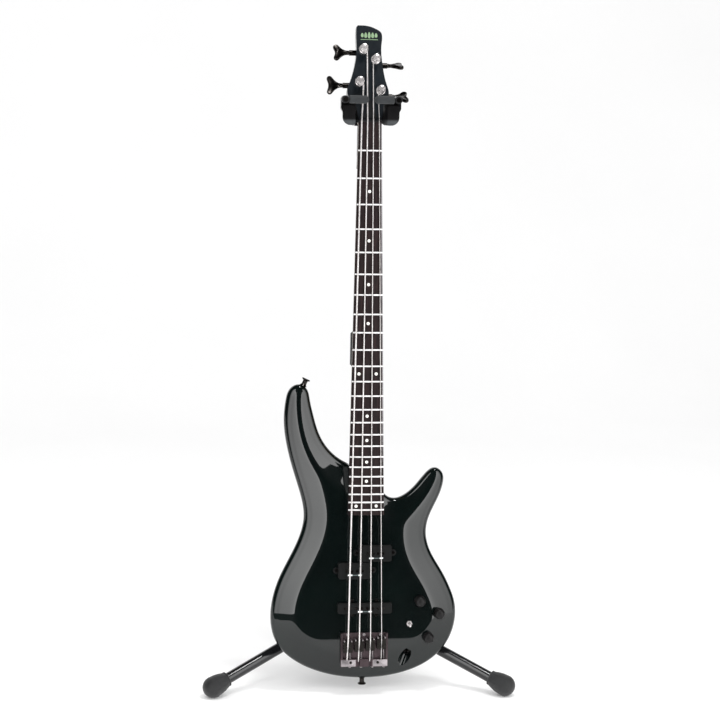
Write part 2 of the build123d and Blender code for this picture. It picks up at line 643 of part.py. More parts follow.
with BuildPart() as fingerboard:
    for y in (-1.5, -BOARD_END):
        half = neck_half_width(y)
        with BuildSketch(across_neck(y)):
            with BuildLine():
                Polyline(
                    (-half, -board_drop(half)), (-half, -BOARD_THICK),
                    (half, -BOARD_THICK), (half, -board_drop(half)),
                )
                ThreePointArc((half, -board_drop(half)), (0, 0), (-half, -board_drop(half)))
            make_face()
    loft()
    with BuildSketch(GUITAR.offset(-4.0)):
        for number in range(1, FRETS + 1):
            with Locations((0, fret_y(number))):
                Rectangle(80, 0.7)
    extrude(amount=10, mode=Mode.SUBTRACT)
    with BuildSketch(GUITAR.offset(-2.0)):
        with Locations(*DOTS):
            Circle(2.6)
    extrude(amount=4, mode=Mode.SUBTRACT)
save(fingerboard, "fingerboard")

with BuildPart() as frets:
    for number in range(1, FRETS + 1):
        half = neck_half_width(fret_y(number)) - 0.1
        low = board_drop(half)
        with BuildSketch(across_neck(fret_y(number) + 1.2)):
            with BuildLine():
                Line((-half, 0.1 - low), (-half, 0.6 - low))
                ThreePointArc((-half, 0.6 - low), (0, 1.1), (half, 0.6 - low))
                Line((half, 0.6 - low), (half, 0.1 - low))
                ThreePointArc((half, 0.1 - low), (0, 0.1), (-half, 0.1 - low))
            make_face()
        extrude(amount=2.4)
        with BuildSketch(across_neck(fret_y(number) + 0.3)):
            with BuildLine():
                Polyline(
                    (-half, 0.3 - low), (-half, -3.6), (half, -3.6), (half, 0.3 - low)
                )
                ThreePointArc((half, 0.3 - low), (0, 0.3), (-half, 0.3 - low))
            make_face()
        extrude(amount=0.6)
save(frets, "frets")

with BuildPart() as dot_inlays:
    for x, y in DOTS:
        with BuildSketch(GUITAR.offset(-2.0)):
            with Locations((x, y)):
                Circle(2.55)
        extrude(amount=2.0 - board_drop(x))
save(dot_inlays, "dot_inlays")

with BuildPart() as nut:
    with BuildSketch(across_neck(2.0)):
        with Locations((0, -2.1)):
            Rectangle(NUT_WIDTH, 7.6)
    extrude(amount=3.4)
    for name, radius in STRING_R.items():
        with BuildSketch(across_neck(3.0)):
            with Locations((string_x(name, 0), STRING_LIFT + radius)):
                Circle(radius + 0.05)
            with Locations((string_x(name, 0), STRING_LIFT + 2 + radius)):
                Rectangle(2 * radius + 0.1, 4)
        extrude(amount=6, mode=Mode.SUBTRACT)
save(nut, "nut")

with BuildPart() as truss_rod_cover:
    with BuildSketch(HEAD):
        with BuildLine():
            Polyline((-12.5, 1.5), (12.5, 1.5), (10.5, 7), (6.5, 13), (4.2, 22), (3.4, 31))
            Line((3.4, 31), (-3.4, 31))
            Polyline((-3.4, 31), (-4.2, 22), (-6.5, 13), (-10.5, 7), (-12.5, 1.5))
        make_face()
    extrude(amount=1.8)
    chamfer(truss_rod_cover.faces().sort_by(Axis.Y)[0].edges(), 0.6)
save(truss_rod_cover, "truss_rod_cover")

# ---------------------------------------------------------------- guitar: tuners

WAIST_R, WAIST_LOW, WAIST_HIGH = 4.2, 5.0, 11.6
POST_R, BUSH_R, CAP_R, KEY_SHAFT_R = 5.0, 6.2, 6.0, 3.0
FIRST_TURN, TURN_RISE = 1.05, 2.05  # height of the turns on a post, in string radii
with BuildPart() as tuner_ferrules:
    with BuildSketch(HEAD):
        for place in POSTS.values():
            with Locations(place):
                Circle(8.0)
                Circle(POST_R + 0.1, mode=Mode.SUBTRACT)
    extrude(amount=1.6)
    with BuildSketch(HEAD.offset(-HEAD_THICK)):
        for place in POSTS.values():
            with Locations(place):
                Circle(BUSH_R)
                Circle(POST_R + 0.1, mode=Mode.SUBTRACT)
    extrude(amount=HEAD_THICK)
save(tuner_ferrules, "tuner_ferrules")

HOUSING_DEEP = 13.5
SHAFT_DEPTH = -HEAD_THICK - 7.0
with BuildPart() as tuner_housings:
    for name, (x, y) in POSTS.items():
        hand = -1 if x < 0 else 1
        with BuildSketch(HEAD.offset(-HEAD_THICK - HOUSING_DEEP)):
            with Locations((x, y - 1)):
                RectangleRounded(20, 23, 3)
        extrude(amount=HOUSING_DEEP)
        start = HEAD.from_local_coords((x + hand * 9, y + WORM_OFFSET[name], SHAFT_DEPTH))
        end = HEAD.from_local_coords(
            (KEY_START[name] - hand * 2.2, y + WORM_OFFSET[name], SHAFT_DEPTH)
        )
        add(rod(start, end, 4.6))
    for name, (x, y) in POSTS.items():
        hand = -1 if x < 0 else 1
        with BuildSketch(HEAD.offset(-HEAD_THICK - HOUSING_DEEP + 1.5)):
            with Locations((x, y + 2)):
                Circle(7.6)
            with Locations((x, y + WORM_OFFSET[name])):
                Circle(4.6)
        extrude(amount=HOUSING_DEEP - 3, mode=Mode.SUBTRACT)
        with BuildSketch(HEAD.offset(-HEAD_THICK - 2)):
            with Locations((x, y)):
                Circle(POST_R + 0.1)
        extrude(amount=3, mode=Mode.SUBTRACT)
        start = HEAD.from_local_coords((x - hand * 4, y + WORM_OFFSET[name], SHAFT_DEPTH))
        end = HEAD.from_local_coords(
            (KEY_START[name] + hand * 4, y + WORM_OFFSET[name], SHAFT_DEPTH)
        )
        add(rod(start, end, KEY_SHAFT_R + RUNNING_GAP), mode=Mode.SUBTRACT)
save(tuner_housings, "tuner_housings")

for name, (x, y) in POSTS.items():
    hand = -1 if x < 0 else 1
    post_foot = -HEAD_THICK - 2.5
    with BuildPart() as post:
        with BuildSketch(HEAD.offset(post_foot)):
            with Locations((x, y)):
                Circle(POST_R)
        extrude(amount=3.0 - post_foot)
        with BuildSketch(HEAD.offset(3.0)):
            with Locations((x, y)):
                Circle(6.2)
        with BuildSketch(HEAD.offset(WAIST_LOW)):
            with Locations((x, y)):
                Circle(WAIST_R)
        loft()
        with BuildSketch(HEAD.offset(WAIST_LOW)):
            with Locations((x, y)):
                Circle(WAIST_R)
        extrude(amount=WAIST_HIGH - WAIST_LOW)
        with BuildSketch(HEAD.offset(WAIST_HIGH)):
            with Locations((x, y)):
                Circle(CAP_R)
        extrude(amount=4.5)
        with BuildSketch(HEAD.offset(WAIST_HIGH + 0.5)):
            with Locations((x, y)):
                Rectangle(3.0, 14)
        extrude(amount=6, mode=Mode.SUBTRACT)
        with BuildSketch(HEAD.offset(post_foot - 1)):
            with Locations((x, y)):
                Circle(3.4)
        extrude(amount=1)
    radius = STRING_R[name]
    turns = []
    for turn in range(2 if radius > 1 else 3):
        level = WAIST_LOW + radius * (FIRST_TURN + TURN_RISE * turn)
        middle = Plane(HEAD.from_local_coords((x, y, level)), z_dir=HEAD.z_dir)
        turns.append(middle * Torus(wrap_radius(name), radius))
    pieces = [post.part.solid()] + [ring.solid() for ring in turns]
    wound = Compound(label=f"tuner_post_{name}", children=pieces)
    export_step(wound, f"parts/tuner_post_{name}.step")

    axle = HEAD.from_local_coords((KEY_START[name], y + WORM_OFFSET[name], SHAFT_DEPTH))
    swing = radians(KEY_TURN[name])
    face = Plane(
        axle,
        x_dir=(hand, 0, 0),
        z_dir=HEAD.z_dir * cos(swing) + HEAD.y_dir * sin(swing),
    )
    with BuildPart() as key:
        with BuildSketch(face.offset(-3.2)):
            with BuildLine():
                Polyline((0, 3.6), (5, 4.2), (11, 8.4), (17, 15.6))
                ThreePointArc((17, 15.6), (22.5, 16.4), (25.0, 11.2))
                ThreePointArc((25.0, 11.2), (20.2, 0), (25.0, -11.2))
                ThreePointArc((25.0, -11.2), (22.5, -16.4), (17, -15.6))
                Polyline((17, -15.6), (11, -8.4), (5, -4.2), (0, -3.6), (0, 3.6))
            make_face()
        extrude(amount=6.4)
        inner = HEAD.from_local_coords((x - hand * 3, y + WORM_OFFSET[name], SHAFT_DEPTH))
        add(rod(inner, face.from_local_coords((4, 0, 0)), KEY_SHAFT_R))
    save(key, f"tuner_key_{name}")

# ---------------------------------------------------------------- guitar: strings and bridge

LIP_S, LIP_OUT = 910.0, -6.0
SADDLE_OUT = 2.6
with BuildPart() as strings:
    for name, radius in STRING_R.items():
        x, y = POSTS[name]
        side = 1 if x < 0 else -1
        reach = wrap_radius(name)
        short = ((reach + 2 * radius + 0.25) ** 2 - reach**2) ** 0.5
        over_saddle = (string_x(name, SADDLE_S[name]), -SADDLE_S[name], SADDLE_OUT + radius)
        line = [
            GUITAR.from_local_coords((string_x(name, LIP_S), -LIP_S + 3, LIP_OUT)),
            GUITAR.from_local_coords(over_saddle),
            GUITAR.from_local_coords((string_x(name, 0), 0.3, STRING_LIFT + radius)),
            HEAD.from_local_coords((x + side * reach, y - short, WAIST_LOW + radius * FIRST_TURN)),
        ]
        for near, far in zip(line[:-1], line[1:]):
            add(rod(near, far, radius))
        for bend in line[1:-1]:
            with Locations(bend):
                Sphere(radius)
save(strings, "strings")

BRIDGE_TOP = BODY_TOP + 3.0
FRONT_SCREWS = [(-28, -862), (0, -862), (28, -862)]
with BuildPart() as bridge_plate:
    with BuildSketch(FACE):
        with Locations((0, -887.5)):
            Rectangle(80, 57)
    extrude(amount=3.0)
    with BuildSketch(FACE):
        with Locations((-38.2, -882.0), (38.2, -882.0)):
            Rectangle(3.6, 46)
        with Locations((0, -909.5)):
            Rectangle(80, 13)
    extrude(amount=9.5)
    with BuildSketch(FACE):
        with Locations((-23, -908.5), (23, -908.5), *FRONT_SCREWS):
            Circle(1.8)
    extrude(amount=12, mode=Mode.SUBTRACT)
    with BuildSketch(GUITAR.offset(BRIDGE_TOP + 1.5)):
        for name in STRING_R:
            with Locations((string_x(name, LIP_S), -908.0)):
                Rectangle(5.0, 17)
    extrude(amount=20, mode=Mode.SUBTRACT)
save(bridge_plate, "bridge_plate")

with BuildPart() as bridge_saddles:
    for name, radius in STRING_R.items():
        x = string_x(name, SADDLE_S[name])
        with BuildSketch(GUITAR.offset(BRIDGE_TOP + 1.0)):
            with Locations((x, -SADDLE_S[name] - 8)):
                Rectangle(15.4, 18)
        extrude(amount=SADDLE_OUT - BRIDGE_TOP - 1.0 + 0.6 * radius)
        with BuildSketch(GUITAR.offset(SADDLE_OUT - 5)):
            with Locations((x, -SADDLE_S[name] - 10)):
                Rectangle(2 * radius + 0.8, 24)
        extrude(amount=9, mode=Mode.SUBTRACT)
        with BuildSketch(across_neck(-SADDLE_S[name] + 3)):
            with Locations((x - 5.4, SADDLE_OUT - 6), (x + 5.4, SADDLE_OUT - 6)):
                Circle(1.3)
        extrude(amount=24, mode=Mode.SUBTRACT)
save(bridge_saddles, "bridge_saddles")

with BuildPart() as bridge_screws:
    with BuildSketch(FACE.offset(-9)):
        with Locations(*FRONT_SCREWS):
            Circle(1.7)
    extrude(amount=12)
    with BuildSketch(GUITAR.offset(BRIDGE_TOP)):
        with Locations(*FRONT_SCREWS):
            Circle(2.5)
    extrude(amount=1.4)
    for name in STRING_R:
        x = string_x(name, SADDLE_S[name])
        with BuildSketch(GUITAR.offset(BRIDGE_TOP + 0.1)):
            with Locations((x - 6, -SADDLE_S[name] + 2.4), (x + 6, -SADDLE_S[name] + 2.4)):
                Circle(1.2)
        extrude(amount=SADDLE_OUT - BRIDGE_TOP + 1.4)
save(bridge_screws, "bridge_screws")

# ---------------------------------------------------------------- guitar: pickups

PICKUPS = {
    "pickup_split_treble": (*SPLIT_PICKUPS["treble"], *SPLIT_SIZE, 31.0, 0.0),
    "pickup_split_bass": (*SPLIT_PICKUPS["bass"], *SPLIT_SIZE, 31.0, 0.0),
    "pickup_bridge": (*BRIDGE_PICKUP, *BRIDGE_PICKUP_SIZE, 20.5, 12.0),
}
PICKUP_TOP = -5.0
PICKUP_FLOOR = BODY_TOP - 12.0
pickup_screw_places = []
pole_places = []
with BuildPart() as pickup_covers:
    for label, (x, y, wide, deep, ear_x, ear_y) in PICKUPS.items():
        with BuildSketch(GUITAR.offset(PICKUP_FLOOR)):
            with Locations((x, y)):
                RectangleRounded(wide, deep, 3.5)
        extrude(amount=PICKUP_TOP - PICKUP_FLOOR)
        with BuildSketch(FACE.offset(-3)):
            for dx in (-ear_x, ear_x):
                for dy in {-ear_y, ear_y}:
                    with Locations((x + dx, y + dy)):
                        Circle(5.5 if ear_y == 0 else 3.2)
        extrude(amount=4.5)
        with BuildSketch(GUITAR.offset(PICKUP_FLOOR)):
            with Locations((x, y)):
                RectangleRounded(wide - 3, deep - 3, 2.2)
        extrude(amount=PICKUP_TOP - PICKUP_FLOOR - 1.5, mode=Mode.SUBTRACT)
        for dx in (-ear_x, ear_x):
            for dy in {-ear_y, ear_y}:
                pickup_screw_places.append((x + dx, y + dy))
        with BuildSketch(FACE.offset(-4)):
            with Locations(*[(x + dx, y + dy) for dx in (-ear_x, ear_x) for dy in {-ear_y, ear_y}]):
                Circle(1.5)
        extrude(amount=8, mode=Mode.SUBTRACT)
        poles = pole_row(label, y)
        pole_places += poles
        with BuildSketch(GUITAR.offset(PICKUP_TOP - 4)):
            with Locations(*poles):
                Circle(2.45)
        extrude(amount=8, mode=Mode.SUBTRACT)
save(pickup_covers, "pickup_covers")

with BuildPart() as pickup_coils:
    for x, y, wide, deep, _, _ in PICKUPS.values():
        with BuildSketch(GUITAR.offset(PICKUP_FLOOR + 0.2)):
            with Locations((x, y)):
                RectangleRounded(wide - 4, deep - 4, 2.0)
                RectangleRounded(wide - 18, deep - 12.5, 1.0, mode=Mode.SUBTRACT)
        extrude(amount=PICKUP_TOP - PICKUP_FLOOR - 2.2)
save(pickup_coils, "pickup_coils")

with BuildPart() as pole_pieces:
    with BuildSketch(GUITAR.offset(PICKUP_FLOOR + 0.5)):
        with Locations(*pole_places):
            Circle(2.4)
    extrude(amount=PICKUP_TOP - PICKUP_FLOOR - 0.3)
save(pole_pieces, "pole_pieces")

with BuildPart() as pickup_screws:
    with BuildSketch(FACE.offset(-15)):
        with Locations(*pickup_screw_places):
            Circle(1.4)
    extrude(amount=16.5)
    with BuildSketch(FACE.offset(1.5)):
        with Locations(*pickup_screw_places):
            Circle(2.6)
    extrude(amount=1.2)
save(pickup_screws, "pickup_screws")

# ---------------------------------------------------------------- guitar: controls

POT_TOP = BODY_TOP - 12.2
for name, place in KNOBS.items():
    with BuildPart() as knob:
        with BuildSketch(FACE.offset(KNOB_CLEAR)):
            with Locations(place):
                Circle(KNOB_R)
        extrude(amount=KNOB_TALL)
        fillet(knob.faces().sort_by(Axis.Y)[0].edges(), 4.0)
        with BuildSketch(FACE.offset(KNOB_CLEAR)):
            with Locations(place):
                Circle(6.4)
        extrude(amount=3, mode=Mode.SUBTRACT)
        with BuildSketch(GUITAR.offset(POT_TOP - 3)):
            with Locations(place):
                Circle(SHAFT_R)
        extrude(amount=BODY_TOP + 4 - POT_TOP + 3)
    save(knob, f"knob_{name}")

with BuildPart() as pots:
    for place in KNOBS.values():
        with BuildSketch(GUITAR.offset(POT_TOP - 9)):
            with Locations(place):
                Circle(POT_R)
        extrude(amount=9)
        with BuildSketch(GUITAR.offset(POT_TOP)):
            with Locations(place):
                Circle(3.95)
        extrude(amount=BODY_TOP + 2.4 - POT_TOP)
        with BuildSketch(FACE.offset(0.02)):
            with Locations(place):
                Circle(5.6)
        extrude(amount=2.2)
        with BuildSketch(GUITAR.offset(POT_TOP - 4)):
            with Locations(place):
                Circle(SHAFT_R + RUNNING_GAP)
        extrude(amount=30, mode=Mode.SUBTRACT)
save(pots, "pots")

with BuildPart() as toggle_switch:
    with BuildSketch(GUITAR.offset(POT_TOP - 9)):
        with Locations(TOGGLE):
            Rectangle(8, 13)
    extrude(amount=9)
    with BuildSketch(GUITAR.offset(POT_TOP)):
        with Locations(TOGGLE):
            Circle(3.2)
    extrude(amount=BODY_TOP + 3 - POT_TOP)
    with BuildSketch(FACE.offset(0.02)):
        with Locations(TOGGLE):
            RegularPolygon(5.0, 6)
    extrude(amount=2.0)
    with BuildSketch(GUITAR.offset(BODY_TOP - 4)):
        with Locations(TOGGLE):
            Circle(2.3)
    extrude(amount=10, mode=Mode.SUBTRACT)
save(toggle_switch, "toggle_switch")

TOGGLE_PIVOT = GUITAR.from_local_coords((*TOGGLE, BODY_TOP + 1.0))
TOGGLE_REST = 11.0
bat_way = OUT * cos(radians(TOGGLE_REST)) + UP * -sin(radians(TOGGLE_REST))
with BuildPart() as toggle_bat:
    with BuildSketch(Plane(TOGGLE_PIVOT - bat_way * 2.0, z_dir=bat_way)):
        Circle(1.1)
    with BuildSketch(Plane(TOGGLE_PIVOT + bat_way * 11, z_dir=bat_way)):
        Circle(1.9)
    loft()
    with Locations(TOGGLE_PIVOT + bat_way * 11):
        Sphere(1.9)
save(toggle_bat, "toggle_bat")

with BuildPart() as output_jack:
    with BuildSketch(JACK_FLOOR.offset(0.05)):
        RegularPolygon(7.4, 6)
    extrude(amount=2.6)
    with BuildSketch(JACK_FLOOR.offset(-28)):
        Circle(6.0)
    extrude(amount=31.0)
    with BuildSketch(JACK_FLOOR.offset(-26)):
        Circle(3.2)
    extrude(amount=40, mode=Mode.SUBTRACT)
save(output_jack, "output_jack")

with BuildPart() as preamp_board:
    with BuildSketch(BACK.offset(5)):
        with Locations((CAVITY[0] - 3, CAVITY[1] - 4)):
            Rectangle(56, 60)
    extrude(amount=1.6)
save(preamp_board, "preamp_board")

with BuildPart() as battery:
    with BuildSketch(BACK.offset(6)):
        with Locations(BATTERY_BOX):
            RectangleRounded(48.5, 26.5, 3)
    extrude(amount=17.5)
save(battery, "battery")

COVER_SCREWS = [
    (CAVITY[0] + sx * 33.5, CAVITY[1] + sy * 40.5) for sx in (-1, 1) for sy in (-1, 1)
]
with BuildPart() as rear_covers:
    with BuildSketch(BACK):
        with Locations(CAVITY):
            RectangleRounded(CAVITY_SIZE[0] + 7.6, CAVITY_SIZE[1] + 7.6, 16.8)
        with Locations(*COVER_SCREWS):
            Circle(1.7, mode=Mode.SUBTRACT)
        with Locations(BATTERY_BOX):
            RectangleRounded(BATTERY_SIZE[0] + 7.6, BATTERY_SIZE[1] + 5.6, 5.8)
    extrude(amount=2.4)
save(rear_covers, "rear_covers")

with BuildPart() as cover_screws:
    with BuildSketch(BACK.offset(-1.2)):
        with Locations(*COVER_SCREWS):
            Circle(3.0)
    extrude(amount=1.2)
    with BuildSketch(BACK):
        with Locations(*COVER_SCREWS):
            Circle(1.6)
    extrude(amount=2.4)
save(cover_screws, "cover_screws")

with BuildPart() as neck_bolts:
    with BuildSketch(BACK):
        with Locations(*NECK_BOLTS):
            Circle(6.8)
    extrude(amount=2.9)
    with BuildSketch(BACK.offset(-1.6)):
        with Locations(*NECK_BOLTS):
            Circle(4.4)
    extrude(amount=1.6)
    with BuildSketch(BACK.offset(2.0)):
        with Locations(*NECK_BOLTS):
            Circle(2.1)
    extrude(amount=34)
save(neck_bolts, "neck_bolts")

STRAP_BUTTONS = (((-104.5, -441.0), (0.42, 0.91)), ((0.0, -940.6), (0.0, -1.0)))
STRAP_LEVEL = (BODY_TOP + BODY_BACK) / 2
# Start, radius at the start, radius at the end and length of each turned step, from the body outwards
STRAP_BUTTON_STEPS = (
    (-1.0, 6.5, 4.0, 3.5),
    (2.5, 4.0, 4.0, 6.0),
    (8.5, 4.5, 7.4, 2.0),
    (10.5, 7.4, 6.6, 1.6),
)
with BuildPart() as strap_buttons:
    for (x, y), (dx, dy) in STRAP_BUTTONS:
        way = GUITAR.x_dir * dx + UP * dy
        base = Plane(GUITAR.from_local_coords((x, y, STRAP_LEVEL)), z_dir=way)
        for level, low_r, high_r, tall in STRAP_BUTTON_STEPS:
            with BuildSketch(base.offset(level)):
                Circle(low_r)
            with BuildSketch(base.offset(level + tall)):
                Circle(high_r)
            loft()
save(strap_buttons, "strap_buttons")
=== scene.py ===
"""Looks of a bass guitar hanging on a tripod stand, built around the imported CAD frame."""
import json
import math

import bmesh
import bpy
import numpy as np
from mathutils import Matrix, Vector
from mathutils.geometry import delaunay_2d_cdt


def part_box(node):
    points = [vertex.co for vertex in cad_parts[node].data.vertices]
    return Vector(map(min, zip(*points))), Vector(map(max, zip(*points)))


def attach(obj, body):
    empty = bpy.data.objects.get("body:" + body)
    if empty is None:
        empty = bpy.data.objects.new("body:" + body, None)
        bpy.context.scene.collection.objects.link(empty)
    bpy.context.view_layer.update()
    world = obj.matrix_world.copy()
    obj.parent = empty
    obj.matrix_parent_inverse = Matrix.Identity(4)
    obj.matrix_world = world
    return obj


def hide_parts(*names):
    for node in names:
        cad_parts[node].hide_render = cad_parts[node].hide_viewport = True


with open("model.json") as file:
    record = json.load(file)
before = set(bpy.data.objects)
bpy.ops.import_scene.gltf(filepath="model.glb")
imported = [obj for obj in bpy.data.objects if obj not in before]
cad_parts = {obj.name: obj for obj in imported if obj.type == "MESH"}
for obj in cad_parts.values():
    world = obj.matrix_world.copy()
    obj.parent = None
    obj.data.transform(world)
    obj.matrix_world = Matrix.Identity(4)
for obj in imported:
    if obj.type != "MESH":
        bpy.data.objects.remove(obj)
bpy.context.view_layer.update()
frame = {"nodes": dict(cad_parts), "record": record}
MM = 0.001

# ---------------------------------------------------------------- the guitar's own frame

JOINTS = {j["name"]: j for j in frame["record"]["behaviour"]["joints"]}
MOUNTS = {m["name"]: m for m in frame["record"]["mounts"]}
ACROSS = Vector((1, 0, 0))
UP = Vector(JOINTS["guitar_lift"]["axis"]).normalized()
OUT = Vector(JOINTS["knob_volume_turn"]["axis"]).normalized()
NUT = Vector((0.0, -0.154, 0.9667))      # foot of the nut, where the guitar is measured from
HEAD_OUT = Vector(JOINTS["tuner_post_e_turn"]["axis"]).normalized()
HEAD_UP = HEAD_OUT.cross(ACROSS).normalized()
HEAD_FOOT = NUT + UP * 0.003 - OUT * 0.004

BODY_TOP, BODY_BACK = -13.0, -53.0       # millimetres out from the fingerboard's face
BODY_MIDDLE = (BODY_TOP + BODY_BACK) / 2


def at(x, y, h):
    """World point of guitar millimetres: x across, y up from the nut, h out to the front."""
    return NUT + ACROSS * (x * MM) + UP * (y * MM) + OUT * (h * MM)


def on_head(x, y, h):
    """World point of headstock millimetres: x across, y up the face, h out from the face."""
    return HEAD_FOOT + ACROSS * (x * MM) + HEAD_UP * (y * MM) + HEAD_OUT * (h * MM)


def to_guitar(point):
    """Guitar millimetres of a world point."""
    away = point - NUT
    return away.dot(ACROSS) / MM, away.dot(UP) / MM, away.dot(OUT) / MM


# ---------------------------------------------------------------- mesh helpers


def piece(name, verts, faces, body, slot, look=None, smooth=True):
    """Makes a mesh object that rides on a body. Its material is its slot's look, or one of its own."""
    mesh = bpy.data.meshes.new(name)
    mesh.from_pydata([tuple(v) for v in verts], [], faces)
    mesh.validate()
    bm = bmesh.new()
    bm.from_mesh(mesh)
    bmesh.ops.recalc_face_normals(bm, faces=bm.faces)
    bm.to_mesh(mesh)
    bm.free()
    if smooth:
        mesh.polygons.foreach_set("use_smooth", [True] * len(mesh.polygons))
    obj = bpy.data.objects.new(name, mesh)
    bpy.context.scene.collection.objects.link(obj)
    mesh.materials.append(look or LOOKS[slot])
    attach(obj, body)
    return obj


def sharpen(obj, angle=35.0):
    """Keeps edges crisp where faces meet at more than the angle."""
    bm = bmesh.new()
    bm.from_mesh(obj.data)
    limit = math.radians(angle)
    for edge in bm.edges:
        if len(edge.link_faces) == 2 and edge.calc_face_angle(0.0) > limit:
            edge.smooth = False
    bm.to_mesh(obj.data)
    bm.free()


def joined(parts):
    """Joins several (verts, faces) lists into one."""
    verts, faces = [], []
    for more, polys in parts:
        base = len(verts)
        verts += list(more)
        faces += [tuple(base + i for i in p) for p in polys]
    return verts, faces


def lathe(origin, axis, profile, steps=48, ripple=None):
    """Turns (radius, height) millimetres round an axis. ripple(angle, radius) changes a radius."""
    axis = Vector(axis).normalized()
    side = axis.orthogonal().normalized()
    other = axis.cross(side)
    verts, faces = [], []
    for radius, height in profile:
        for k in range(steps):
            turn = 2 * math.pi * k / steps
            r = ripple(turn, radius, height) if ripple else radius
            spoke = side * math.cos(turn) + other * math.sin(turn)
            verts.append(Vector(origin) + axis * (height * MM) + spoke * (max(r, 0.01) * MM))
    for row in range(len(profile) - 1):
        for k in range(steps):
            n = (k + 1) % steps
            a, b = row * steps, (row + 1) * steps
            faces.append((a + k, a + n, b + n, b + k))
    faces.append(tuple(range(steps)))
    last = (len(profile) - 1) * steps
    faces.append(tuple(range(last, last + steps)))
    return verts, faces


def tube(points, radius, steps=14):
    """A round tube along world points, closed at both ends. radius is a number or a list, mm."""
    count = len(points)
    radii = radius if isinstance(radius, list) else [radius] * count
    verts, faces = [], []
    normal = None
    for i, point in enumerate(points):
        ahead = points[min(i + 1, count - 1)] - points[max(i - 1, 0)]
        ahead.normalize()
        if normal is None:
            normal = ahead.orthogonal().normalized()
        normal = (normal - ahead * normal.dot(ahead)).normalized()
        side = ahead.cross(normal)
        for k in range(steps):
            turn = 2 * math.pi * k / steps
            spoke = normal * math.cos(turn) + side * math.sin(turn)
            verts.append(point + spoke * (radii[i] * MM))
    for i in range(count - 1):
        for k in range(steps):
            n = (k + 1) % steps
            faces.append((i * steps + k, i * steps + n, (i + 1) * steps + n, (i + 1) * steps + k))
    faces.append(tuple(range(steps)))
    faces.append(tuple(range((count - 1) * steps, count * steps)))
    return verts, faces


def smooth_path(points, per_span=8, closed=False):
    """Catmull-Rom curve through the points."""
    count = len(points)
    out = []
    spans = count if closed else count - 1
    for i in range(spans):
        if closed:
            p = [points[(i + k) % count] for k in (-1, 0, 1, 2)]
        else:
            p = [points[min(max(i + k, 0), count - 1)] for k in (-1, 0, 1, 2)]
        for j in range(per_span):
            t = j / per_span
            out.append(
                0.5 * (
                    2 * p[1] + (p[2] - p[0]) * t
                    + (2 * p[0] - 5 * p[1] + 4 * p[2] - p[3]) * t * t
                    + (3 * p[1] - p[0] - 3 * p[2] + p[3]) * t * t * t
                )
            )
    if not closed:
        out.append(points[-1])
    return out


def plate(outline, low, high, place, bevel=0.0):
    """A flat plate from an outline of (x, y), between two heights, with a bevelled top edge."""
    count = len(outline)
    cx = sum(p[0] for p in outline) / count
    cy = sum(p[1] for p in outline) / count

    def shrunk(p, by):
        away = Vector((p[0] - cx, p[1] - cy))
        size = away.length
        away *= max(size - by, 0) / size
        return cx + away.x, cy + away.y

    rows = [(0, low), (0, high - bevel)]
    if bevel:
        rows += [(bevel * 0.35, high - bevel * 0.35), (bevel, high)]
    verts = []
    for by, height in rows:
        for p in outline:
            x, y = shrunk(p, by)
            verts.append(place(x, y, height))
    faces = []
    for row in range(len(rows) - 1):
        for k in range(count):
            n = (k + 1) % count
            a, b = row * count, (row + 1) * count
            faces.append((a + k, a + n, b + n, b + k))
    faces.append(tuple(reversed(range(count))))
    faces.append(tuple(range(len(verts) - count, len(verts))))
    return verts, faces


def rounded_box(x, y, wide, tall, corner, steps=6):
    """Outline of a rectangle with round corners, as (x, y) points."""
    out = []
    for sx, sy, start in ((1, 1, 0), (-1, 1, 90), (-1, -1, 180), (1, -1, 270)):
        for k in range(steps + 1):
            turn = math.radians(start + 90 * k / steps)
            px = x + sx * (wide / 2 - corner) + corner * math.cos(turn)
            py = y + sy * (tall / 2 - corner) + corner * math.sin(turn)
            out.append((px, py))
    return out


# ---------------------------------------------------------------- materials


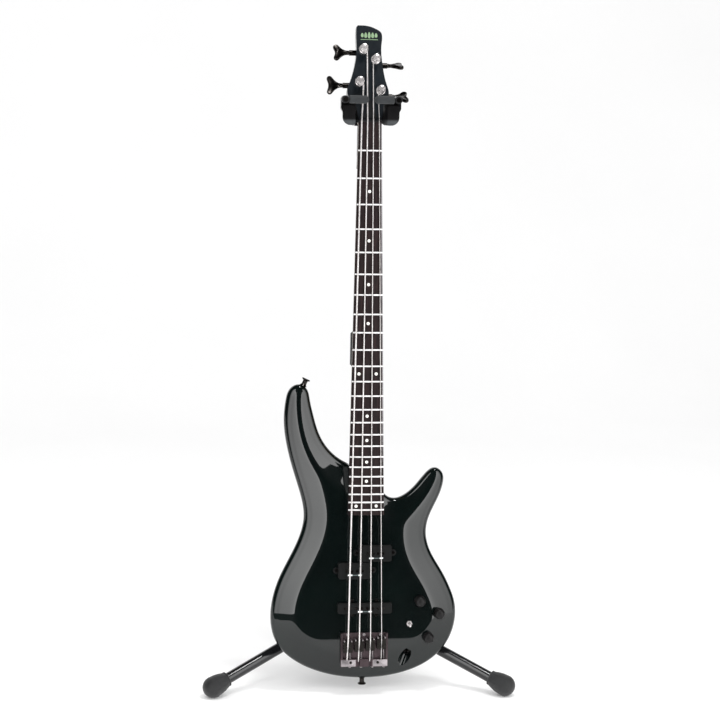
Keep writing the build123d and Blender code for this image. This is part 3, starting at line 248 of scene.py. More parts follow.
class Look:
    """A node material with a few short ways to add detail."""

    def __init__(self, name, colour, rough=0.4, metal=0.0, coat=0.0, coat_rough=0.03, sheen=0.0):
        self.material = bpy.data.materials.new(name)
        self.material.use_nodes = True
        self.nodes = self.material.node_tree.nodes
        self.links = self.material.node_tree.links
        self.shader = self.nodes["Principled BSDF"]
        self.shader.inputs["Base Color"].default_value = (*colour, 1)
        self.shader.inputs["Roughness"].default_value = rough
        self.shader.inputs["Metallic"].default_value = metal
        self.shader.inputs["Coat Weight"].default_value = coat
        self.shader.inputs["Coat Roughness"].default_value = coat_rough
        self.shader.inputs["Sheen Weight"].default_value = sheen
        self.coords = self.nodes.new("ShaderNodeTexCoord").outputs["Object"]
        self.height = None

    def node(self, kind, **values):
        made = self.nodes.new(kind)
        for key, value in values.items():
            if key in made.inputs:
                made.inputs[key].default_value = value
            else:
                setattr(made, key, value)
        return made

    def spread(self, scale=(1, 1, 1), turn=(0, 0, 0)):
        """Object coordinates in metres, turned and then scaled."""
        mapping = self.node("ShaderNodeMapping", vector_type="POINT")
        mapping.inputs["Rotation"].default_value = turn
        mapping.inputs["Scale"].default_value = scale
        self.links.new(self.coords, mapping.inputs["Vector"])
        return mapping.outputs["Vector"]

    def noise(self, scale, detail=4.0, rough=0.55, vector=None, distort=0.0):
        made = self.node("ShaderNodeTexNoise", Scale=scale, Detail=detail)
        made.inputs["Roughness"].default_value = rough
        made.inputs["Distortion"].default_value = distort
        self.links.new(vector if vector is not None else self.coords, made.inputs["Vector"])
        return made.outputs["Fac"]

    def ramp(self, value, stops):
        """Maps a value to colours: stops are (place, (r, g, b))."""
        made = self.node("ShaderNodeValToRGB")
        ramp = made.color_ramp
        ramp.elements[0].position, ramp.elements[1].position = stops[0][0], stops[-1][0]
        ramp.elements[0].color = (*stops[0][1], 1)
        ramp.elements[1].color = (*stops[-1][1], 1)
        for place, colour in stops[1:-1]:
            ramp.elements.new(place).color = (*colour, 1)
        self.links.new(value, made.inputs["Fac"])
        return made.outputs["Color"]

    def span(self, value, low, high, start=0.3, stop=0.7):
        """Maps a value from start..stop to low..high."""
        made = self.node("ShaderNodeMapRange")
        for key, number in zip(("From Min", "From Max", "To Min", "To Max"), (start, stop, low, high)):
            made.inputs[key].default_value = number
        self.links.new(value, made.inputs["Value"])
        return made.outputs["Result"]

    def mix(self, factor, a, b):
        made = self.node("ShaderNodeMix", data_type="RGBA")
        for socket, value in ((made.inputs[6], a), (made.inputs[7], b)):
            if isinstance(value, tuple):
                socket.default_value = (*value, 1)
            else:
                self.links.new(value, socket)
        self.links.new(factor, made.inputs[0])
        return made.outputs[2]

    def colour(self, output):
        self.links.new(output, self.shader.inputs["Base Color"])
        return self

    def rough(self, output):
        self.links.new(output, self.shader.inputs["Roughness"])
        return self

    def bump(self, output, deep):
        """Adds relief: deep is its height in millimetres."""
        made = self.node("ShaderNodeBump", Strength=1.0, Distance=deep * MM)
        self.links.new(output, made.inputs["Height"])
        if self.height is not None:
            self.links.new(self.height, made.inputs["Normal"])
        self.height = made.outputs["Normal"]
        self.links.new(self.height, self.shader.inputs["Normal"])
        return self


LEAN = math.atan2(UP.y, UP.z)
ALONG_NECK = (LEAN, 0.0, 0.0)            # turns object coordinates so that z runs along the neck


def lacquer():
    """Deep green-black pearl lacquer under clear coat."""
    look = Look("green_lacquer", (0.002, 0.006, 0.005), rough=0.4, coat=1.0, coat_rough=0.025)
    look.shader.inputs["Specular IOR Level"].default_value = 0.06
    cloud = look.noise(9.0, 3.0)
    fleck = look.noise(5200.0, 1.0)
    deep = look.ramp(cloud, [(0.3, (0.0006, 0.0020, 0.0020)), (0.7, (0.0011, 0.0036, 0.0032))])
    spark = look.span(fleck, 0.0, 0.35, 0.6, 0.8)
    look.colour(look.mix(spark, deep, (0.006, 0.016, 0.013)))
    look.rough(look.span(look.noise(60.0), 0.28, 0.36))
    return look.material


def head_lacquer_and_maple():
    """Neck: satin maple, dark at the heel, with blue-black lacquer over the headstock."""
    look = Look("neck_finish", (0.3, 0.2, 0.1), rough=0.35, coat=0.8, coat_rough=0.05)
    grain_place = look.spread((60, 60, 3.0), ALONG_NECK)
    grain = look.noise(6.0, 6.0, 0.6, grain_place, 0.4)
    maple_tones = [(0.32, (0.36, 0.2, 0.088)), (0.55, (0.5, 0.31, 0.15)), (0.72, (0.58, 0.39, 0.2))]
    maple = look.ramp(grain, maple_tones)
    parts = look.node("ShaderNodeSeparateXYZ")
    look.links.new(look.coords, parts.inputs[0])
    head = look.span(parts.outputs["Z"], 0.0, 1.0, NUT.z - 0.006, NUT.z - 0.004)
    heel = look.span(parts.outputs["Z"], 1.0, 0.0, NUT.z - 0.545, NUT.z - 0.54)
    blue_tones = [(0.3, (0.0015, 0.0042, 0.0075)), (0.7, (0.0028, 0.0075, 0.0125))]
    cloud = look.ramp(look.noise(14.0, 2.0), blue_tones)
    handle = look.mix(heel, maple, (0.004, 0.006, 0.006))
    look.colour(look.mix(head, handle, cloud))
    look.rough(look.span(grain, 0.3, 0.42))
    look.bump(grain, 0.02)
    return look.material


def rosewood():
    """Open-pored rosewood with dark streaks along the neck."""
    look = Look("rosewood", (0.08, 0.03, 0.02), rough=0.45)
    place = look.spread((150, 150, 5.0), ALONG_NECK)
    streak = look.noise(3.0, 7.0, 0.65, place, 0.6)
    pores = look.noise(14.0, 3.0, 0.5, look.spread((300, 300, 14), ALONG_NECK))
    wood_tones = [
        (0.3, (0.004, 0.002, 0.002)), (0.5, (0.013, 0.0055, 0.006)), (0.7, (0.028, 0.0115, 0.0115)),
    ]
    base = look.ramp(streak, wood_tones)
    hole = look.span(pores, 1.0, 0.0, 0.32, 0.42)
    look.colour(look.mix(hole, base, (0.004, 0.002, 0.002)))
    look.shader.inputs["Specular IOR Level"].default_value = 0.25
    look.rough(look.span(streak, 0.42, 0.6))
    look.bump(pores, 0.05)
    return look.material


def metal(name, colour, rough=0.18, grain=0.03, tint=0.08, purity=1.0):
    """Plated metal with faint handling marks."""
    look = Look(name, colour, rough=rough, metal=purity)
    smear = look.noise(55.0, 5.0, 0.6)
    fine = look.noise(900.0, 2.0)
    light = tuple(min(c * (1 + tint), 1) for c in colour)
    dark = tuple(c * (1 - tint) for c in colour)
    look.colour(look.ramp(smear, [(0.3, dark), (0.7, light)]))
    look.rough(look.span(smear, rough * 0.75, rough * 1.5))
    look.bump(fine, grain * 0.2)
    return look.material


def plastic(name, colour, rough=0.35, grain=0.04, scale=900.0, coat=0.0):
    """Moulded plastic or enamel with a fine grain."""
    look = Look(name, colour, rough=rough, coat=coat)
    look.shader.inputs["Specular IOR Level"].default_value = 0.25
    cloud = look.noise(30.0, 3.0)
    light = tuple(min(c * 1.25 + 0.001, 1) for c in colour)
    dark = tuple(c * 0.8 for c in colour)
    look.colour(look.ramp(cloud, [(0.3, dark), (0.7, light)]))
    look.rough(look.span(look.noise(140.0, 4.0), rough * 0.85, min(rough * 1.2, 1.0)))
    look.bump(look.noise(scale, 3.0), grain)
    return look.material


def rubber(name, colour, rough=0.75, grain=0.12, scale=650.0):
    """Moulded foam rubber: matt, finely pitted, dusty in patches."""
    look = Look(name, colour, rough=rough, sheen=0.15)
    pits = look.node("ShaderNodeTexVoronoi", Scale=scale)
    look.links.new(look.coords, pits.inputs["Vector"])
    dust = look.noise(40.0, 5.0, 0.65)
    light = tuple(min(c * 1.6 + 0.004, 1) for c in colour)
    look.colour(look.ramp(dust, [(0.35, colour), (0.75, light)]))
    look.rough(look.span(dust, rough - 0.1, min(rough + 0.12, 1.0)))
    look.bump(pits.outputs["Distance"], grain)
    look.bump(look.noise(170.0, 4.0), grain * 0.8)
    return look.material


def wound_string():
    """Roundwound steel: fine ridges along the string."""
    look = Look("wound_string", (0.8, 0.76, 0.75), rough=0.28, metal=0.6)
    place = look.spread((1, 1, 1), ALONG_NECK)
    ridges = look.node("ShaderNodeTexWave", Scale=160.0, Distortion=0.0, bands_direction="Z")
    look.links.new(place, ridges.inputs["Vector"])
    tarnish = look.noise(45.0, 3.0)
    look.colour(look.ramp(tarnish, [(0.3, (0.66, 0.62, 0.61)), (0.7, (0.86, 0.83, 0.82))]))
    look.rough(look.span(tarnish, 0.22, 0.38))
    look.bump(ridges.outputs["Fac"], 0.12)
    return look.material


LOOKS = {
    "fret_wire": metal("fret_wire", (0.85, 0.84, 0.84), 0.35, purity=0.3),
    "mauve_bridge": metal("mauve_bridge", (0.075, 0.055, 0.060), 0.34, tint=0.3, purity=0.8),
    "green_lacquer": lacquer(),
    "neck_maple": head_lacquer_and_maple(),
    "rosewood": rosewood(),
    "nickel": metal("nickel", (0.80, 0.76, 0.76), 0.22, purity=0.75),
    "black_nickel": metal("black_nickel", (0.035, 0.032, 0.030), 0.24),
    "zinc_steel": metal("zinc_steel", (0.34, 0.31, 0.32), 0.34, purity=0.8),
    "string_steel": wound_string(),
    "pearl": plastic("pearl", (0.82, 0.8, 0.75), 0.22, 0.01, coat=0.5),
    "black_bone": plastic("black_bone", (0.012, 0.012, 0.013), 0.32, 0.01),
    "pickup_black": plastic("pickup_black", (0.0010, 0.0015, 0.0015), 0.5, 0.02),
    "knob_black": plastic("knob_black", (0.0055, 0.0050, 0.0052), 0.42, 0.03),
    "black_enamel": plastic("black_enamel", (0.006, 0.0062, 0.007), 0.2, 0.015, 420.0, coat=0.6),
    "cast_black": plastic("cast_black", (0.010, 0.010, 0.011), 0.38, 0.06, 500.0),
    "black_nylon": plastic("black_nylon", (0.013, 0.013, 0.014), 0.48, 0.05),
    "foam_rubber": rubber("foam_rubber", (0.013, 0.015, 0.017)),
    "foot_rubber": rubber("foot_rubber", (0.0075, 0.0078, 0.0085), 0.62, 0.08, 800.0),
    "coil_copper": metal("coil_copper", (0.45, 0.2, 0.09), 0.35),
    "pot_steel": metal("pot_steel", (0.5, 0.5, 0.5), 0.35),
    "board_green": plastic("board_green", (0.02, 0.1, 0.04), 0.35, 0.02),
    "battery_case": plastic("battery_case", (0.06, 0.06, 0.07), 0.3, 0.01),
}
SLOTS = {s["node"]: s["material_slot"] for s in frame["record"]["subparts"]}

for node, obj in frame["nodes"].items():
    obj.data.materials.clear()
    obj.data.materials.append(LOOKS[SLOTS[node]])
frame["nodes"]["frets"].data.materials[0] = LOOKS["fret_wire"]
frame["nodes"]["bridge_plate"].data.materials[0] = LOOKS["mauve_bridge"]
for node in ("strap_buttons", "pickup_screws", "output_jack", "gate_pins", "pole_pieces"):
    frame["nodes"][node].data.materials[0] = LOOKS["black_nickel"]


# ---------------------------------------------------------------- guitar body


def body_outline():
    """The body's edge at mid-height, from the CAD body, as evenly spaced guitar millimetres."""
    bm = bmesh.new()
    bm.from_mesh(frame["nodes"]["guitar_body"].data)
    geometry = bm.verts[:] + bm.edges[:] + bm.faces[:]
    middle = at(0, 0, BODY_MIDDLE + 4)
    cut = bmesh.ops.bisect_plane(bm, geom=geometry, plane_co=middle, plane_no=OUT)
    links = {}
    for e in cut["geom_cut"]:
        if isinstance(e, bmesh.types.BMEdge):
            a, b = e.verts
            links.setdefault(a, []).append(b)
            links.setdefault(b, []).append(a)
    loops, seen = [], set()
    for start in links:
        loop, here, last = [], start, None
        while here not in seen:
            seen.add(here)
            loop.append(to_guitar(here.co)[:2])
            onward = [v for v in links[here] if v is not last]
            last = here
            here = next((v for v in onward if v not in seen), here)
        if loop:
            loops.append(np.array(loop))
    bm.free()
    outer = max(loops, key=lambda p: np.ptp(p[:, 0]) * np.ptp(p[:, 1]))
    return resample(outer, OUTLINE_STEP)


def resample(loop, step):
    """Points evenly spaced and slightly smoothed along a closed loop, anticlockwise."""
    closed = np.vstack([loop, loop[:1]])
    keep = np.r_[True, np.linalg.norm(np.diff(closed, axis=0), axis=1) > 1e-6]
    closed = closed[keep]
    run = np.r_[0, np.cumsum(np.linalg.norm(np.diff(closed, axis=0), axis=1))]
    places = np.linspace(0, run[-1], int(run[-1] / step), endpoint=False)
    even = np.stack([np.interp(places, run, closed[:, k]) for k in (0, 1)], axis=1)
    for _ in range(6):
        even = 0.25 * np.roll(even, 1, 0) + 0.5 * even + 0.25 * np.roll(even, -1, 0)
    after = np.roll(even, -1, 0)
    area = np.sum(even[:, 0] * after[:, 1] - after[:, 0] * even[:, 1])
    return even if area > 0 else even[::-1].copy()


def distance(points, loop):
    """Distance from each point to the closed loop, in slices to save memory."""
    a, b = loop, np.roll(loop, -1, 0)
    run = b - a
    size = (run**2).sum(1)
    out = np.empty(len(points))
    for k in range(0, len(points), 4000):
        p = points[k:k + 4000, None, :]
        t = np.clip(((p - a) * run).sum(2) / size, 0, 1)
        near = a + run * t[..., None]
        out[k:k + 4000] = np.sqrt(((p - near) ** 2).sum(2)).min(1)
    return out


def inside(points, loop):
    """Which points lie within the loop."""
    ax, ay = loop[:, 0], loop[:, 1]
    bx, by = np.roll(ax, -1), np.roll(ay, -1)
    out = np.empty(len(points), dtype=bool)
    for k in range(0, len(points), 4000):
        x, y = points[k:k + 4000, :1], points[k:k + 4000, 1:]
        crosses = (ay > y) != (by > y)
        with np.errstate(divide="ignore", invalid="ignore"):
            where = ax + (y - ay) * (bx - ax) / (by - ay)
        out[k:k + 4000] = (crosses & (x < where)).sum(1) % 2 == 1
    return out


def smooth_min(a, b, soft):
    """The lower of two heights, rounded where they cross."""
    h = np.clip(0.5 + 0.5 * (b - a) / soft, 0, 1)
    return b * (1 - h) + a * h - soft * h * (1 - h)


class Relief:
    """One face of the body: flat in the middle, falling away in a wide bevel towards the edge."""

    def __init__(self, loop, reach, drop, rim, half, blur):
        self.rim, self.half, self.edge_height = rim, half, half - drop
        self.low = loop.min(0) - 12
        self.cell = 1.5
        nx, ny = ((loop.max(0) + 12 - self.low) / self.cell).astype(int) + 1
        gx, gy = np.meshgrid(np.arange(nx), np.arange(ny))
        cells = np.stack([gx.ravel(), gy.ravel()], axis=1) * self.cell + self.low
        d = distance(cells, loop) * np.where(inside(cells, loop), 1, -1)
        bevel = self.edge_height + (d - rim) * drop / (reach - rim)
        field = smooth_min(np.full_like(d, half), bevel, 1.6).reshape(ny, nx)
        kernel = np.exp(-0.5 * (np.arange(-8, 9) * self.cell / blur) ** 2)
        kernel /= kernel.sum()
        for axis in (0, 1):
            pads = [(8, 8) if a == axis else (0, 0) for a in (0, 1)]
            wide = np.pad(field, pads, mode="edge")
            size = field.shape[axis]
            slices = [np.take(wide, range(k, k + size), axis) for k in range(len(kernel))]
            field = sum(weight * part for weight, part in zip(kernel, slices))
        self.field = field

    def height(self, points, d):
        """Height over the body's middle at points that lie d in from its edge."""
        place = (points - self.low) / self.cell
        cell = place.astype(int)
        fx, fy = (place - cell).T
        x, y = cell.T
        f = self.field
        core = (f[y, x] * (1 - fx) + f[y, x + 1] * fx) * (1 - fy)
        core += (f[y + 1, x] * (1 - fx) + f[y + 1, x + 1] * fx) * fy
        t = np.clip(d / self.rim, 0, 1)
        rim = self.edge_height * np.sqrt(1 - (1 - t) ** 2)
        rim += np.maximum(d - self.rim * 0.8, 0) ** 2 * 0.08
        soft = np.minimum(1.2, 0.05 + d)
        return smooth_min(core, rim, soft).clip(0, self.half)


OUTLINE_STEP = 2.0
GRID = 2.6
EDGE_ROWS = (0.3, 0.8, 1.5, 2.4, 3.5, 4.8, 6.3, 8.0)
TOP_CARVE = dict(reach=41.0, drop=9.2, rim=10.0, half=20.0, blur=3.2)
BACK_CARVE = dict(reach=24.0, drop=5.0, rim=9.0, half=19.6, blur=3.0)
JACK = MOUNTS["output_jack"]
JACK_OUT = Vector(JACK["axis"]).normalized()
JACK_FLOOR = Vector(JACK["pos_m"]) + JACK_OUT * 0.0115
JACK_RECESS_R = 9.0


def jack_mouth(steps=56):
    """The slanted jack recess: floor points, and where each climbs to the flat of the top."""
    side = JACK_OUT.cross(OUT).normalized()
    other = side.cross(JACK_OUT)
    ring = []
    for k in range(steps):
        turn = 2 * math.pi * k / steps
        start = JACK_FLOOR + (side * math.cos(turn) + other * math.sin(turn)) * (JACK_RECESS_R * MM)
        climb = (at(0, 0, BODY_TOP - 2.5) - start).dot(OUT) / JACK_OUT.dot(OUT)
        ring.append((start, start + JACK_OUT * climb))
    return ring


def build_body():
    """The carved body: two reliefs over one outline, with the jack's recess sunk in."""
    loop = body_outline()
    ahead = np.roll(loop, -1, 0) - np.roll(loop, 1, 0)
    ahead /= np.linalg.norm(ahead, axis=1)[:, None]
    inward = np.stack([-ahead[:, 1], ahead[:, 0]], axis=1)
    ring = jack_mouth()
    mouth = np.array([to_guitar(p)[:2] for _, p in ring])
    rows = []
    for deep in EDGE_ROWS:
        row = loop + inward * deep
        rows.append(row[np.abs(distance(row, loop) - deep) < 0.05 * deep + 0.02])
    low, high = loop.min(0), loop.max(0)
    gx, gy = np.meshgrid(np.arange(low[0], high[0], GRID), np.arange(low[1], high[1], GRID * 0.866))
    gx = gx + 0.5 * GRID * (np.arange(gx.shape[0]) % 2)[:, None]
    grid = np.stack([gx.ravel(), gy.ravel()], axis=1)
    grid = grid[inside(grid, loop)]
    grid = grid[distance(grid, loop) > EDGE_ROWS[-1] + 1.4]
    extra = np.vstack(rows + [grid])
    extra = extra[~inside(extra, mouth)]
    extra = extra[distance(extra, mouth) > 0.9]
    count, hole = len(loop), len(mouth)
    flat = np.vstack([loop, mouth, extra])
    edges = [(k, (k + 1) % count) for k in range(count)]
    edges += [(count + k, count + (k + 1) % hole) for k in range(hole)]
    verts, _, faces, *_ = delaunay_2d_cdt([Vector(p) for p in flat], edges, [], 0, 1e-5)
    xy = np.array([tuple(v) for v in verts])
    faces = np.array([tuple(f) for f in faces])
    centres = xy[faces].mean(1)
    within = inside(centres, loop)
    d = distance(xy, loop)
    d[:count] = 0
    open_faces = faces[within & ~inside(centres, mouth)]
    full_faces = faces[within]
    top = Relief(loop, **TOP_CARVE).height(xy, d)
    back = Relief(loop, **BACK_CARVE).height(xy, d)
    points = [at(x, y, BODY_MIDDLE + h) for (x, y), h in zip(xy, top)]
    under = {}
    for k, ((x, y), h) in enumerate(zip(xy, back)):
        under[k] = k if k < count else len(points)
        if k >= count:
            points.append(at(x, y, BODY_MIDDLE - h))
    polys = [tuple(f) for f in open_faces] + [tuple(under[i] for i in f[::-1]) for f in full_faces]
    last = [count + k for k in range(hole)]
    for step in range(1, 7):
        fresh = []
        for k, (floor, _) in enumerate(ring):
            fresh.append(len(points))
            points.append(points[count + k].lerp(floor, step / 6))
        polys += [(last[k], last[(k + 1) % hole], fresh[(k + 1) % hole], fresh[k]) for k in range(hole)]
        last = fresh
    polys.append(tuple(last))
    body = piece("carved_body", points, polys, "guitar", "green_lacquer")
    sharpen(body, 50)
    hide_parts("guitar_body")


build_body()

# ---------------------------------------------------------------- tuners

POSTS = {"e": (-16.7, 63.3), "a": (-9.5, 118.7), "d": (10.7, 101.8), "g": (18.4, 49.0)}
STRING_R = {"e": 1.33, "a": 1.08, "d": 0.83, "g": 0.57}
WAIST_R, WAIST_LOW, CAP_LOW, CAP_TOP = 4.2, 5.0, 11.6, 16.1
HEAD_THICK = 14.5


def build_post(name):
    """A slotted tuner post with the string wound on it."""
    x, y = POSTS[name]
    foot = on_head(x, y, 0)
    profile = [
        (5.0, -HEAD_THICK - 2.5), (5.0, 1.5), (6.3, 2.2), (6.4, 3.0), (5.4, 4.0),
        (WAIST_R, WAIST_LOW), (WAIST_R, CAP_LOW - 0.6), (4.6, CAP_LOW), (5.7, CAP_LOW + 0.5),
        (6.0, CAP_LOW + 1.2), (6.0, CAP_TOP - 1.4), (5.6, CAP_TOP - 0.5), (4.8, CAP_TOP),
    ]
    parts = [lathe(foot, HEAD_OUT, profile, 40)]
    for side in (-1, 1):
        flank = []
        for k in range(15):
            turn = math.radians(-62 + 124 * k / 14)
            flank.append((x + side * 5.3 * math.cos(turn), y + 5.3 * math.sin(turn)))
        parts.append(plate(flank, CAP_TOP - 0.4, CAP_TOP + 0.9, on_head, 0.3))
    radius = STRING_R[name]
    turns = 2.0 if radius > 1 else 3.0
    reach = WAIST_R + radius
    way = 1 if x < 0 else -1
    path = []
    steps = int(28 * turns)
    for k in range(steps + 1):
        swing = 2 * math.pi * turns * k / steps
        level = WAIST_LOW + radius * (1.0 + 2.0 * turns * k / steps)
        path.append(on_head(x + way * reach * math.cos(swing), y + reach * math.sin(swing), level))
    post = piece(f"post_{name}", *joined(parts), f"tuner_post_{name}", "nickel")
    sharpen(post, 40)
    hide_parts(f"tuner_post_{name}")
    wound = tube(path, radius, 12)
    piece(f"winding_{name}", *wound, f"tuner_post_{name}", "string_steel")


# Half of a key's outline: along its shaft, and out to one side
KEY_HALF = (
    (0, 3.4), (4, 4.0), (8, 6.2), (11.5, 9.0), (14.5, 12.6), (17.5, 15.6), (20.8, 16.2), (23.6, 14.3),
    (24.4, 11.2), (23.3, 7.2), (22.2, 3.2), (21.9, 0),
)
KEY_MIDDLE = 12.5
KEY_EDGE = ((0.0, 3.0), (0.35, 2.7), (0.9, 1.9), (1.25, 0.9), (1.35, 0.0))    # spread, height
KEY_DISH, KEY_DISH_HEIGHT = 0.72, 2.2
KEY_SHAFT_R = 3.0
KEY_TURN = {"e": 8.0, "a": 26.0, "d": 64.0, "g": 50.0}


def build_key(name):
    """A fishtail key: a flared two-lobed paddle on its shaft."""
    joint = JOINTS[f"tuner_key_{name}_turn"]
    axle = Vector(joint["pos_m"])
    along = Vector(joint["axis"]).normalized()
    swing = math.radians(KEY_TURN[name])
    thick = HEAD_OUT * math.cos(swing) + HEAD_UP * math.sin(swing)
    wide = thick.cross(along)
    shape = smooth_path([Vector((u, v, 0)) for u, v in KEY_HALF], 3)
    outline = [(p.x, p.y) for p in shape] + [(p.x, -p.y) for p in reversed(shape[:-1])]
    count = len(outline)
    rows = list(KEY_EDGE) + [(spread, -h) for spread, h in reversed(KEY_EDGE[:-1])]
    verts, faces = [], []
    for spread, h in rows:
        for u, v in outline:
            away = Vector((u - KEY_MIDDLE, v))
            away *= (away.length - KEY_EDGE[-1][0] + spread) / away.length
            u, v = KEY_MIDDLE + away.x, away.y
            taper = 1.0 - 0.35 * max(0.0, 1 - u / 8)
            verts.append(axle + along * (u * MM) + wide * (v * MM) + thick * (h * taper * MM))
    for row in range(len(rows) - 1):
        for k in range(count):
            n = (k + 1) % count
            faces.append((row * count + k, row * count + n, (row + 1) * count + n, (row + 1) * count + k))
    for row, side in ((0, 1), (len(rows) - 1, -1)):
        rim = [row * count + k for k in range(count)]
        inner = []
        for u, v in outline:
            u, v = KEY_MIDDLE + (u - KEY_MIDDLE) * KEY_DISH, v * KEY_DISH
            dish = axle + along * (u * MM) + wide * (v * MM)
            inner.append(len(verts))
            verts.append(dish + thick * (side * KEY_DISH_HEIGHT * MM))
        faces += [(rim[k], rim[(k + 1) % count], inner[(k + 1) % count], inner[k]) for k in range(count)]
        faces.append(tuple(inner))
    ring = [(3.0, -3.5), (3.0, -1.6), (3.7, -1.2), (3.7, 0.2), (3.2, 0.8), (3.2, 3.5)]
    collar = lathe(axle, along, ring, 28)
    post = on_head(*POSTS[name], 0)
    start = axle + along * (post - axle).dot(along) * 0.93
    shaft = tube([start, axle + along * 0.004], KEY_SHAFT_R, 24)
    whole = joined([(verts, faces), collar, shaft])
    key = piece(f"key_{name}", *whole, f"tuner_key_{name}", "black_nickel")
    sharpen(key, 50)
    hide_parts(f"tuner_key_{name}")


for string in POSTS:
    build_post(string)
    build_key(string)


def build_ferrules():
    """Domed washers round the posts, on bushes that reach through the headstock."""
    profile = [
        (5.15, -HEAD_THICK), (5.15, 1.3), (5.6, 1.6), (6.6, 1.55), (7.6, 1.1), (8.0, 0.4), (8.0, 0.0),
        (6.2, -0.02), (6.2, -HEAD_THICK),
    ]
    parts = []
    steps = 44
    last = (len(profile) - 1) * steps
    for x, y in POSTS.values():
        verts, faces = lathe(on_head(x, y, 0), HEAD_OUT, profile, steps)
        around = [(k, (k + 1) % steps) for k in range(steps)]
        open_end = [(last + k, last + n, n, k) for k, n in around]
        parts.append((verts, faces[:-2] + open_end))
    ferrules = piece("ferrules", *joined(parts), "guitar", "nickel")
    sharpen(ferrules, 45)
    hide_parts("tuner_ferrules")


build_ferrules()


def build_mark():
    """A plain ornament near the headstock's top: five leaves over a thin line."""
    look = plastic("pale_print", (0.22, 0.33, 0.19), 0.5, 0.005)
    parts = []
    for k, (x, tall) in enumerate(((-11.5, 7.5), (-5.8, 9.5), (0.0, 11.0), (5.8, 9.5), (11.5, 7.5))):
        leaf = []
        for j in range(24):
            turn = 2 * math.pi * j / 24
            wide = 2.3 * math.sin(turn) * (1 - 0.25 * math.cos(turn))
            leaf.append((x + wide, 142.5 + tall / 2 * math.cos(turn)))
        parts.append(plate(leaf, 0.0, 0.12, on_head))
    parts.append(plate([(-14.5, 134.6), (14.5, 134.6), (14.5, 135.5), (-14.5, 135.5)], 0.0, 0.12, on_head))
    piece("headstock_ornament", *joined(parts), "guitar", "pearl", look, smooth=False)


build_mark()

# ---------------------------------------------------------------- controls

KNOBS = {"volume": (95.2, -806.0), "balance": (128.5, -828.0), "tone": (110.0, -869.0)}


def build_knob(name):
    """A domed knob with a fine grip, and its hidden shaft."""
    x, y = KNOBS[name]
    foot = at(x, y, BODY_TOP)

    def grip(turn, radius, height):
        return radius - (0.16 * (1 + math.cos(36 * turn)) if radius > 9.0 and 1 < height < 9 else 0)

    profile = [
        (8.6, -4.5), (8.9, 0.2), (9.2, 0.7), (9.2, 1.2), (9.15, 8.8), (8.95, 10.2), (8.5, 11.6),
        (7.7, 12.9), (6.6, 14.0), (5.2, 14.85), (3.6, 15.35), (1.8, 15.55), (0.4, 15.6),
    ]
    knob = lathe(foot, OUT, profile, 144, grip)
    shaft = tube([foot - OUT * 0.0152, foot + OUT * 0.002], 3.0, 24)
    whole = joined([knob, shaft])
    made = piece(f"domed_knob_{name}", *whole, f"knob_{name}", "knob_black")
    sharpen(made, 50)
    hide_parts(f"knob_{name}")


for control in KNOBS:
    build_knob(control)

PICKUP_TOP = -5.0
PICKUP_MARKS = ((18.8, -731.0), (-17.0, -759.6), (0.8, -822.0))


def build_pickup_marks():
    """Two pale bars on each pickup cover with a fainter thin one between them."""
    look = plastic("pickup_print", (0.78, 0.82, 0.82), 0.45, 0.004)
    bars, lines = [], []
    for x, y in PICKUP_MARKS:
        for shift, wide in ((-8.2, 8.0), (8.6, 6.0)):
            bar = rounded_box(x + shift, y, wide, 2.5, 1.2)
            bars.append(plate(bar, PICKUP_TOP - 0.05, PICKUP_TOP + 0.12, at))
        line = rounded_box(x + 0.6, y, 9.4, 0.9, 0.3)
        lines.append(plate(line, PICKUP_TOP - 0.05, PICKUP_TOP + 0.1, at))
    piece("pickup_bars", *joined(bars), "guitar", "pearl", look, smooth=False)
    faint = plastic("faint_print", (0.16, 0.2, 0.2), 0.45, 0.004)
    piece("pickup_lines", *joined(lines), "guitar", "pearl", faint, smooth=False)


build_pickup_marks()

# ---------------------------------------------------------------- bridge

SADDLE_S = {"e": 873.0, "a": 871.5, "d": 870.0, "g": 867.5}
BRIDGE_TOP = BODY_TOP + 3.0


def string_x(name, s):
    """How far across a string lies, s millimetres down from the nut."""
    place = list(STRING_R).index(name) - 1.5
    return place * (29.2 + (57.0 - 29.2) * s / SADDLE_S["a"]) / 3


SADDLE_LONG = 17.0
LIP_FRONT, LIP_REAR = -903.2, -916.0
SCREW_HEAD = ((2.1, -0.2), (2.3, 0.0), (2.3, 1.1), (1.7, 1.7), (0.6, 1.9))
COILS, COIL_R, COIL_WIRE_R, COIL_STEPS = 7, 1.9, 0.38, 16


def build_intonation():
    """A long screw behind each saddle with a coil spring round it."""
    screws, springs = [], []
    for name in STRING_R:
        x = string_x(name, 885.0) + 4.6
        level = BRIDGE_TOP + 3.4
        front, rear = -SADDLE_S[name] - SADDLE_LONG, LIP_FRONT
        screws.append(tube([at(x, front + 4, level), at(x, rear, level)], 1.05, 14))
        screws.append(lathe(at(x, LIP_REAR, level), -UP, SCREW_HEAD, 24))
        path = []
        for k in range(COILS * COIL_STEPS + 1):
            turn = 2 * math.pi * k / COIL_STEPS
            y = front + (rear - front) * k / (COILS * COIL_STEPS)
            path.append(at(x + COIL_R * math.cos(turn), y, level + COIL_R * math.sin(turn)))
        springs.append(tube(path, COIL_WIRE_R, 8))
    piece("intonation_screws", *joined(screws), "guitar", "zinc_steel")
    piece("saddle_springs", *joined(springs), "guitar", "zinc_steel")


build_intonation()


LIP_TOP = BODY_TOP + 9.5


